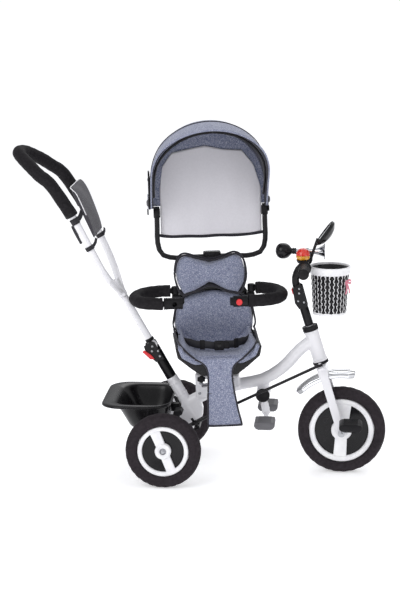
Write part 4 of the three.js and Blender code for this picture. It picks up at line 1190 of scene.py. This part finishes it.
# ---- rear panel of the hood -------------------------------------------------
PANEL_TOP = [(150, 520), (128, 594), (95, 636), (40, 640), (-12, 652), (-60, 644), (-110, 634), (-138, 594),
             (-148, 520)]


def panel_height(x):
    """Top edge of the panel at a distance across, found along its scalloped outline."""
    points = sorted(PANEL_TOP)
    if x <= points[0][0]:
        return points[0][1]
    for (x0, z0), (x1, z1) in zip(points, points[1:]):
        if x <= x1:
            share = (x - x0) / (x1 - x0)
            return z0 + (z1 - z0) * share
    return points[-1][1]


def rear_panel():
    """Thin pale cloth behind the head, hanging in soft upright folds, with a dark bound hem."""
    bottom, left, right = 380, -147, 149
    columns, levels = 60, 40
    rows = []
    for level in range(levels + 1):
        share = level / levels
        row = []
        for column in range(columns + 1):
            x = left + (right - left) * column / columns
            z = bottom + 8 + (panel_height(x) - bottom - 8) * share
            fold = 0.9 * math.sin(x * 0.085 + 0.6 * math.sin(z * 0.02)) * (1 - 0.6 * share)
            row.append((x, 122.2 + fold, z))
        rows.append(row)
    panel = grid("rear_panel_look", rows, PALE_CLOTH, SEAT)
    tidy_normals(panel)
    applied(panel, ("SOLIDIFY", {"thickness": 0.0012, "offset": 0.0}))
    shown(panel, "seat", "hood_panel", slot="pale_fabric")
    strip = []
    for column in range(41):
        x = -153 + 307 * column / 40
        level = 381.5 + 7.5 * (abs(x) / 153) ** 6 + 0.7 * math.sin(x * 0.06)
        y = 122.2 + 0.9 * math.sin(x * 0.085) - 6 * (abs(x) / 153) ** 10
        strip.append([(x, y - 1.6, level), (x, y + 1.6, level), (x, y + 1.6, level + 8.6),
                      (x, y - 1.6, level + 8.6)])
    binding = grid("rear_panel_hem", strip, PIPING, SEAT, closed_columns=True)
    shown(tidy_normals(binding), "seat", slot="blue_fabric")


# ---- canopy bar trim --------------------------------------------------------
def canopy_trim():
    for side, sign in (("left", -1), ("right", 1)):
        ferrule = turned(f"canopy_ferrule_{side}", [(8.2, 446), (9.8, 447), (9.8, 472), (8.2, 473.5)],
                         BLACK_PLASTIC, SEAT, "Z",
                         (sign * 158, 112, 0), 40, closed=True)
        shown(ferrule, "seat", slot="black_plastic")
        at = HOOD_SHIFT + sign * 174.4
        knob = turned(f"hood_pivot_{side}", [(0, 6), (5, 6), (8, 5), (10, 2.5), (10.5, 0), (0, 0)],
                      GREY_PLASTIC, SEAT, "X",
                      (0, 0, 0), 40)
        knob.data.transform(SEAT @ Matrix.Translation((at / 1000, 0.100, 0.492)) @ Matrix.Diagonal((sign, 1,
                1, 1))
                            @ SEAT.inverted())
        shown(tidy_normals(knob), "seat", slot="black_plastic")
        bolt(f"bracket_screw_{side}", SEAT, (at, 106, 560), "X", 4, "seat", STEEL, sign * 2.2)
        tab = plate(f"hood_tab_{side}", [(107, 470), (119, 470), (120, 516), (106, 516)],
                    sorted((at + sign * 0.3, at + sign * 2.3)), BLUE_FABRIC, SEAT, "YZ", 0.6)
        shown(tab, "seat", slot="blue_fabric")
        inner, outer = sorted((at + sign * 0.2, at + sign * 4.2))
        clip = block(f"hood_clip_{side}", (inner, 105, 456), (outer, 121, 472), BLACK_PLASTIC, SEAT, 1.2)
        shown(clip, "seat", slot="black_plastic")


# ---- lap belt ---------------------------------------------------------------
def lap_belt():
    """Webbing across the lap in a gentle wave, with an adjuster on each side of the buckle."""
    centre_line = [(-108, 44), (-93, -4), (-72, -37), (-38.6, -63.4), (0, -71.6), (38.6, -63.4), (72, -37),
                   (93, -4), (108, 44)]
    path = smooth_path([(x, y, 101) for x, y in centre_line], 10)
    rows = []
    for index, here in enumerate(path):
        ripple = 1.2 * math.sin(index * 0.45)
        rows.append([(here.x, here.y - 0.9, 90 + ripple), (here.x * 1.003, here.y - 1.3, 101 + ripple),
                     (here.x, here.y - 0.9, 112 + ripple)])
    belt = grid("lap_belt_look", rows, STRAP, SEAT)
    applied(tidy_normals(belt), ("SOLIDIFY", {"thickness": 0.0016, "offset": 0.0}))
    shown(belt, "seat", "lap_belt", slot="dark_webbing")
    for side, x, y, turn in (("left", -44, -62.5, -17), ("right", 54, -55.5, 36)):
        slider = block(f"belt_slider_{side}", (-7, -2.8, -14), (7, 2.8, 14), BLACK_PLASTIC, TRIKE, 1.2)
        slider.data.transform(SEAT @ Matrix.Translation((x / 1000, y / 1000,
                                                         0.101)) @ Matrix.Rotation(math.radians(turn), 4,
                                                                 "Z")
                              @ TRIKE.inverted())
        shown(slider, "seat", slot="black_plastic")
    body = block("buckle_body", (-11, -83.6, 87), (17, -74, 115), BLACK_PLASTIC, SEAT, 3)
    tongue = block("buckle_tongue", (14, -82, 91), (33, -75.6, 111), BLACK_PLASTIC, SEAT, 2)
    press = block("buckle_press", (-2, -84.6, 94), (10, -81, 108), BLACK_GLOSS, SEAT, 1.2)
    shown(joined("belt_buckle_look", [body, tongue, press]), "seat", "belt_buckle", slot="black_plastic")


# ---- foam sleeves -----------------------------------------------------------
ARM_Z = 231
LEFT_ARM = [(-112, 92), (-160, 91), (-209, 62), (-232, 0), (-217, -60), (-171, -88), (-120, -90)]
RIGHT_ARM = [(112, 92), (146, 91), (180, 54), (193, 0), (178, -58), (134, -87), (84, -90)]


def foam_sleeve(name, node, body, points, group, radius=17.6, seed=0.0):
    """Foam tube slightly uneven along its length, rounded over at both ends."""
    path = smooth_path(points, 14)
    count = len(path)
    rows = []
    sides = 40
    previous = None
    for index, here in enumerate(path):
        along = (path[min(index + 1, count - 1)] - path[max(index - 1, 0)]).normalized()
        upright = Vector((0, 0, 1)) if abs(along.z) < 0.9 else Vector((0, 1, 0))
        reference = previous if previous else upright
        side = (reference - along * reference.dot(along)).normalized()
        previous = side
        lift = along.cross(side)
        size = radius + 0.25 * math.sin(index * 0.9 + seed) + 0.2 * math.sin(index * 0.31 + seed)
        turns = [2 * math.pi * k / sides for k in range(sides)]
        rows.append([tuple(here + (side * math.cos(turn) + lift * math.sin(turn)) * size) for turn in turns])
    for end, step in ((0, 1), (-1, -1)):
        centre, outer = path[end], rows[end]
        outward = (path[end] - path[end + step]).normalized()
        shoulder = [tuple(centre + (Vector(p) - centre) * 0.9 + outward * 0.9) for p in outer]
        mouth = [tuple(centre + (Vector(p) - centre) * 0.52 + outward * 0.4) for p in outer]
        rows = [mouth, shoulder] + rows if end == 0 else rows + [shoulder, mouth]
    sleeve = grid(name, rows, FOAM, group, closed_columns=True)
    capped(sleeve)
    shown(sleeve, body, node, slot="foam")
    return sleeve


def bumper_arms():
    for side, path, end in (("left", LEFT_ARM, -156), ("right", RIGHT_ARM, 90)):
        inner = [(x, y, ARM_Z) for x, y in path[1:-1]]
        start = (path[0][0] * 1.13, 92, ARM_Z)
        foam_sleeve(f"{side}_arm_foam_look", f"{side}_arm_foam", f"{side}_arm",
                    [start] + inner + [(end, -90, ARM_Z)], SEAT,
                    seed=1.7 if side == "left" else 0.3)
        x, y = path[0]
        cap = turned(f"{side}_arm_hinge_cap", [(0, 13.4), (7, 13.2), (10, 12), (11, 9.6), (11, 9), (0, 9)],
                     BLACK_PLASTIC, SEAT, "Z",
                     (x, y, ARM_Z), 36)
        shown(cap, f"{side}_arm", slot="black_plastic")
    rings = [(-150, 1.2), (-144, 1.2), (-108, 1.2), (-102, 1.2)]
    for index, (x, depth) in enumerate(rings):
        ring = turned(f"arm_socket_ring_{index}", [(16.3, x - 1.4), (16.3 + depth, x - 0.8),
                                                   (16.3 + depth, x + 0.8), (16.3, x + 1.4)],
                      BLACK_PLASTIC, SEAT, "X", (0, -90, ARM_Z), 40)
        shown(ring, "left_arm", slot="black_plastic")


# ---- push handle ------------------------------------------------------------
HANDLE_HALF = [(12, 115, 566), (5, 116, 662), (-12, 108, 705), (-27, 84, 742), (-43, 46, 775)]
HANDLE_TOP = (-50, 0, 786)


def push_handle():
    points = [(x, -y, t) for x, y, t in HANDLE_HALF] + [HANDLE_TOP] + [(x, y, t) for x, y,
            t in reversed(HANDLE_HALF)]
    foam_sleeve("push_grip_look", "push_grip", "push_handle", points, PUSH, radius=18.4, seed=0.8)
    for side, sign in (("near", -1), ("far", 1)):
        cuff = turned(f"grip_cuff_{side}", [(11.2, -9), (16.5, -8.4), (19, -5), (19, 3), (17, 4.5),
                                            (11.2, 4.5)], BLACK_PLASTIC,
                      PUSH, "Z", (11.7, sign * 115, 566), 44, closed=True)
        shown(cuff, "push_handle", slot="black_plastic")
        for level, at, height in (("upper", (11.2, 114, 542), 9), ("lower", (8.2, 110.4, 455), 6)):
            ahead, out, up = at
            band = collar(f"pouch_{level}_band_{side}", 11.3, 12.9, height, STRAP, PUSH, "Z",
                          (ahead, sign * out, up), 36)
            shown(band, "push_handle", slot="dark_mesh")
            reach = [(ahead + 11, sign * (out - 5), up), (ahead + 20, sign * (out - 14), up + 6),
                     (ahead + 26, sign * 88, up + 14)]
            tongue = tube(f"pouch_{level}_tongue_{side}", reach, height * 0.8, STRAP, PUSH, 6, 10,
                          flat=0.18)
            shown(tongue, "push_handle", slot="dark_mesh")
        tail = tube(f"pouch_tail_{side}", [(-1.5, sign * 115, 534), (-4.4, sign * 114, 505),
                                           (-6, sign * 113, 478)], 5.5, STRAP, PUSH,
                    6, 10, flat=0.2)
        shown(tail, "push_handle", slot="dark_mesh")
    ring = turned("push_knuckle_ring", [(11.4, 122), (13.2, 123), (13.2, 131), (11.4, 132)], BLACK_PLASTIC,
                  PUSH, "Z", (0, 0, 0),
                  44, closed=True)
    shown(ring, "push_handle", slot="black_plastic")


def pouch():
    """Shallow bag with a sagging front, an open top edge bound with pale tape, and a dark mesh body."""
    profile = [(27, 470), (38, 492), (46, 524), (50, 560), (53, 594), (51, 618), (44, 629)]
    back = [(25, 473), (27, 500), (30, 540), (32, 576), (33, 604), (38, 628)]
    rows = []
    line = profile + list(reversed(back))
    across = 28
    for column in range(across + 1):
        share = column / across
        y = -89 + 178 * share
        pinch = 1 - 0.35 * abs(2 * share - 1) ** 5
        sag = 1 - 0.10 * abs(2 * share - 1) ** 2
        row = []
        for index, (x, t) in enumerate(line):
            belly = 1.6 * math.sin(share * math.pi * 3 + t * 0.04) if 0 < index < len(profile) - 1 else 0
            middle = 32 + (t - 470) * 0.13
            row.append((middle + (x - middle) * pinch * sag + belly, y, t))
        rows.append(row)
    bag = grid("handle_pouch_look", rows, POUCH_CLOTH, PUSH, closed_columns=True)
    capped(bag)
    applied(bag, ("SUBSURF", {"levels": 2}))
    shown(bag, "push_handle", "handle_pouch", slot="dark_mesh")
    hem = [(43, -88, 540), (47, -89, 575), (49, -88.5, 605), (45, -88, 622), (42, -80, 629), (43, -40, 630),
           (44, 0, 630), (43, 40, 630),
           (42, 86, 628)]
    tape = tube("pouch_hem", hem, 1.5, WHITE_PLASTIC, PUSH, 8, 10)
    shown(tape, "push_handle", slot="white_plastic")


# ---- studio -----------------------------------------------------------------
SURROUND_LIGHT = 0.72


def studio():
    """Large pale floor under a bright even surround, with a soft key light from the upper left."""
    world = bpy.data.worlds.new("surround")
    world.use_nodes = True
    nodes, links = world.node_tree.nodes, world.node_tree.links
    lighting = nodes["Background"]
    lighting.inputs["Strength"].default_value = SURROUND_LIGHT
    direction = nodes.new("ShaderNodeTexCoord")
    split = nodes.new("ShaderNodeSeparateXYZ")
    tone = nodes.new("ShaderNodeValToRGB")
    tone.color_ramp.elements[0].position, tone.color_ramp.elements[0].color = 0.04, (0.16, 0.16, 0.17, 1)
    tone.color_ramp.elements[1].position, tone.color_ramp.elements[1].color = 0.42, (0.97, 0.98, 1.0, 1)
    links.new(direction.outputs["Generated"], split.inputs[0])
    links.new(split.outputs["Z"], tone.inputs[0])
    links.new(tone.outputs[0], lighting.inputs["Color"])
    backdrop = nodes.new("ShaderNodeBackground")
    backdrop.inputs["Color"].default_value = (1, 1, 1, 1)
    ray = nodes.new("ShaderNodeLightPath")
    mix = nodes.new("ShaderNodeMixShader")
    links.new(ray.outputs["Is Camera Ray"], mix.inputs[0])
    links.new(lighting.outputs[0], mix.inputs[1])
    links.new(backdrop.outputs[0], mix.inputs[2])
    links.new(mix.outputs[0], nodes["World Output"].inputs[0])
    bpy.context.scene.world = world
    floor = from_points("floor", [(x, y, 0) for x, y in ((-30000, -30000), (30000, -30000), (30000, 30000),
                                                         (-30000, 30000))],
                        [(0, 1, 2, 3)], FLOOR_PAINT, TRIKE)
    for name, where, size, power in (("key", (-1.8, -2.6, 2.6), 2.2, 44),
                                     ("fill", (2.6, -2.8, 1.5), 2.4, 10),
                                     ("rim", (0.4, 2.6, 2.8), 2.4, 30)):
        lamp = bpy.data.lights.new(name, "AREA")
        lamp.shape = "SQUARE"
        lamp.size = size
        lamp.energy = power
        lamp_object = bpy.data.objects.new(name, lamp)
        bpy.context.scene.collection.objects.link(lamp_object)
        lamp_object.location = where
        lamp_object.rotation_mode = "QUATERNION"
        lamp_object.rotation_quaternion = (Vector((0, 0, 0.45)) - Vector(where)).to_track_quat("-Z", "Y")
    bpy.context.scene.view_settings.view_transform = "Standard"


CAMERA_TARGET = Vector((-0.0015, 0, 0.505))
CAMERA_AZIMUTH, CAMERA_HEIGHT, CAMERA_DISTANCE, CAMERA_LENS = 4.75, 12.0, 5.5, 114


def camera():
    azimuth, height = math.radians(CAMERA_AZIMUTH), math.radians(CAMERA_HEIGHT)
    back = Vector((math.sin(azimuth) * math.cos(height), -math.cos(azimuth) * math.cos(height),
                   math.sin(height)))
    lens = bpy.data.cameras.new("camera")
    lens.lens = CAMERA_LENS
    lens.sensor_width = 36
    piece = bpy.data.objects.new("camera", lens)
    bpy.context.scene.collection.objects.link(piece)
    piece.location = CAMERA_TARGET + back * CAMERA_DISTANCE
    piece.rotation_mode = "QUATERNION"
    piece.rotation_quaternion = (-back).to_track_quat("-Z", "Y")
    bpy.context.scene.camera = piece


def lit_floor():
    """Pale floor, lifted towards white as a backlit sweep is."""
    shader = Shader("floor")
    shader.colour(shader.ramp(shader.noise(3, 2), [(0.3, linear(246, 246, 248)),
                                                   (0.7, linear(248, 248, 250))]))
    shader.set(Roughness=0.9, Emission_Color=(1, 1, 1, 1), Emission_Strength=FLOOR_GLOW)
    return shader.material


FLOOR_GLOW = 0.42
FLOOR_PAINT = lit_floor()

hard_pieces()
wheels()
pedals()
frame_details()
mudguard()
grips()
horn()
light()
mirror_glass()
front_basket()
ribbon()
rear_basket()
seat_pads()
flap()
hood()
rear_panel()
canopy_trim()
lap_belt()
bumper_arms()
push_handle()
pouch()
studio()
camera()
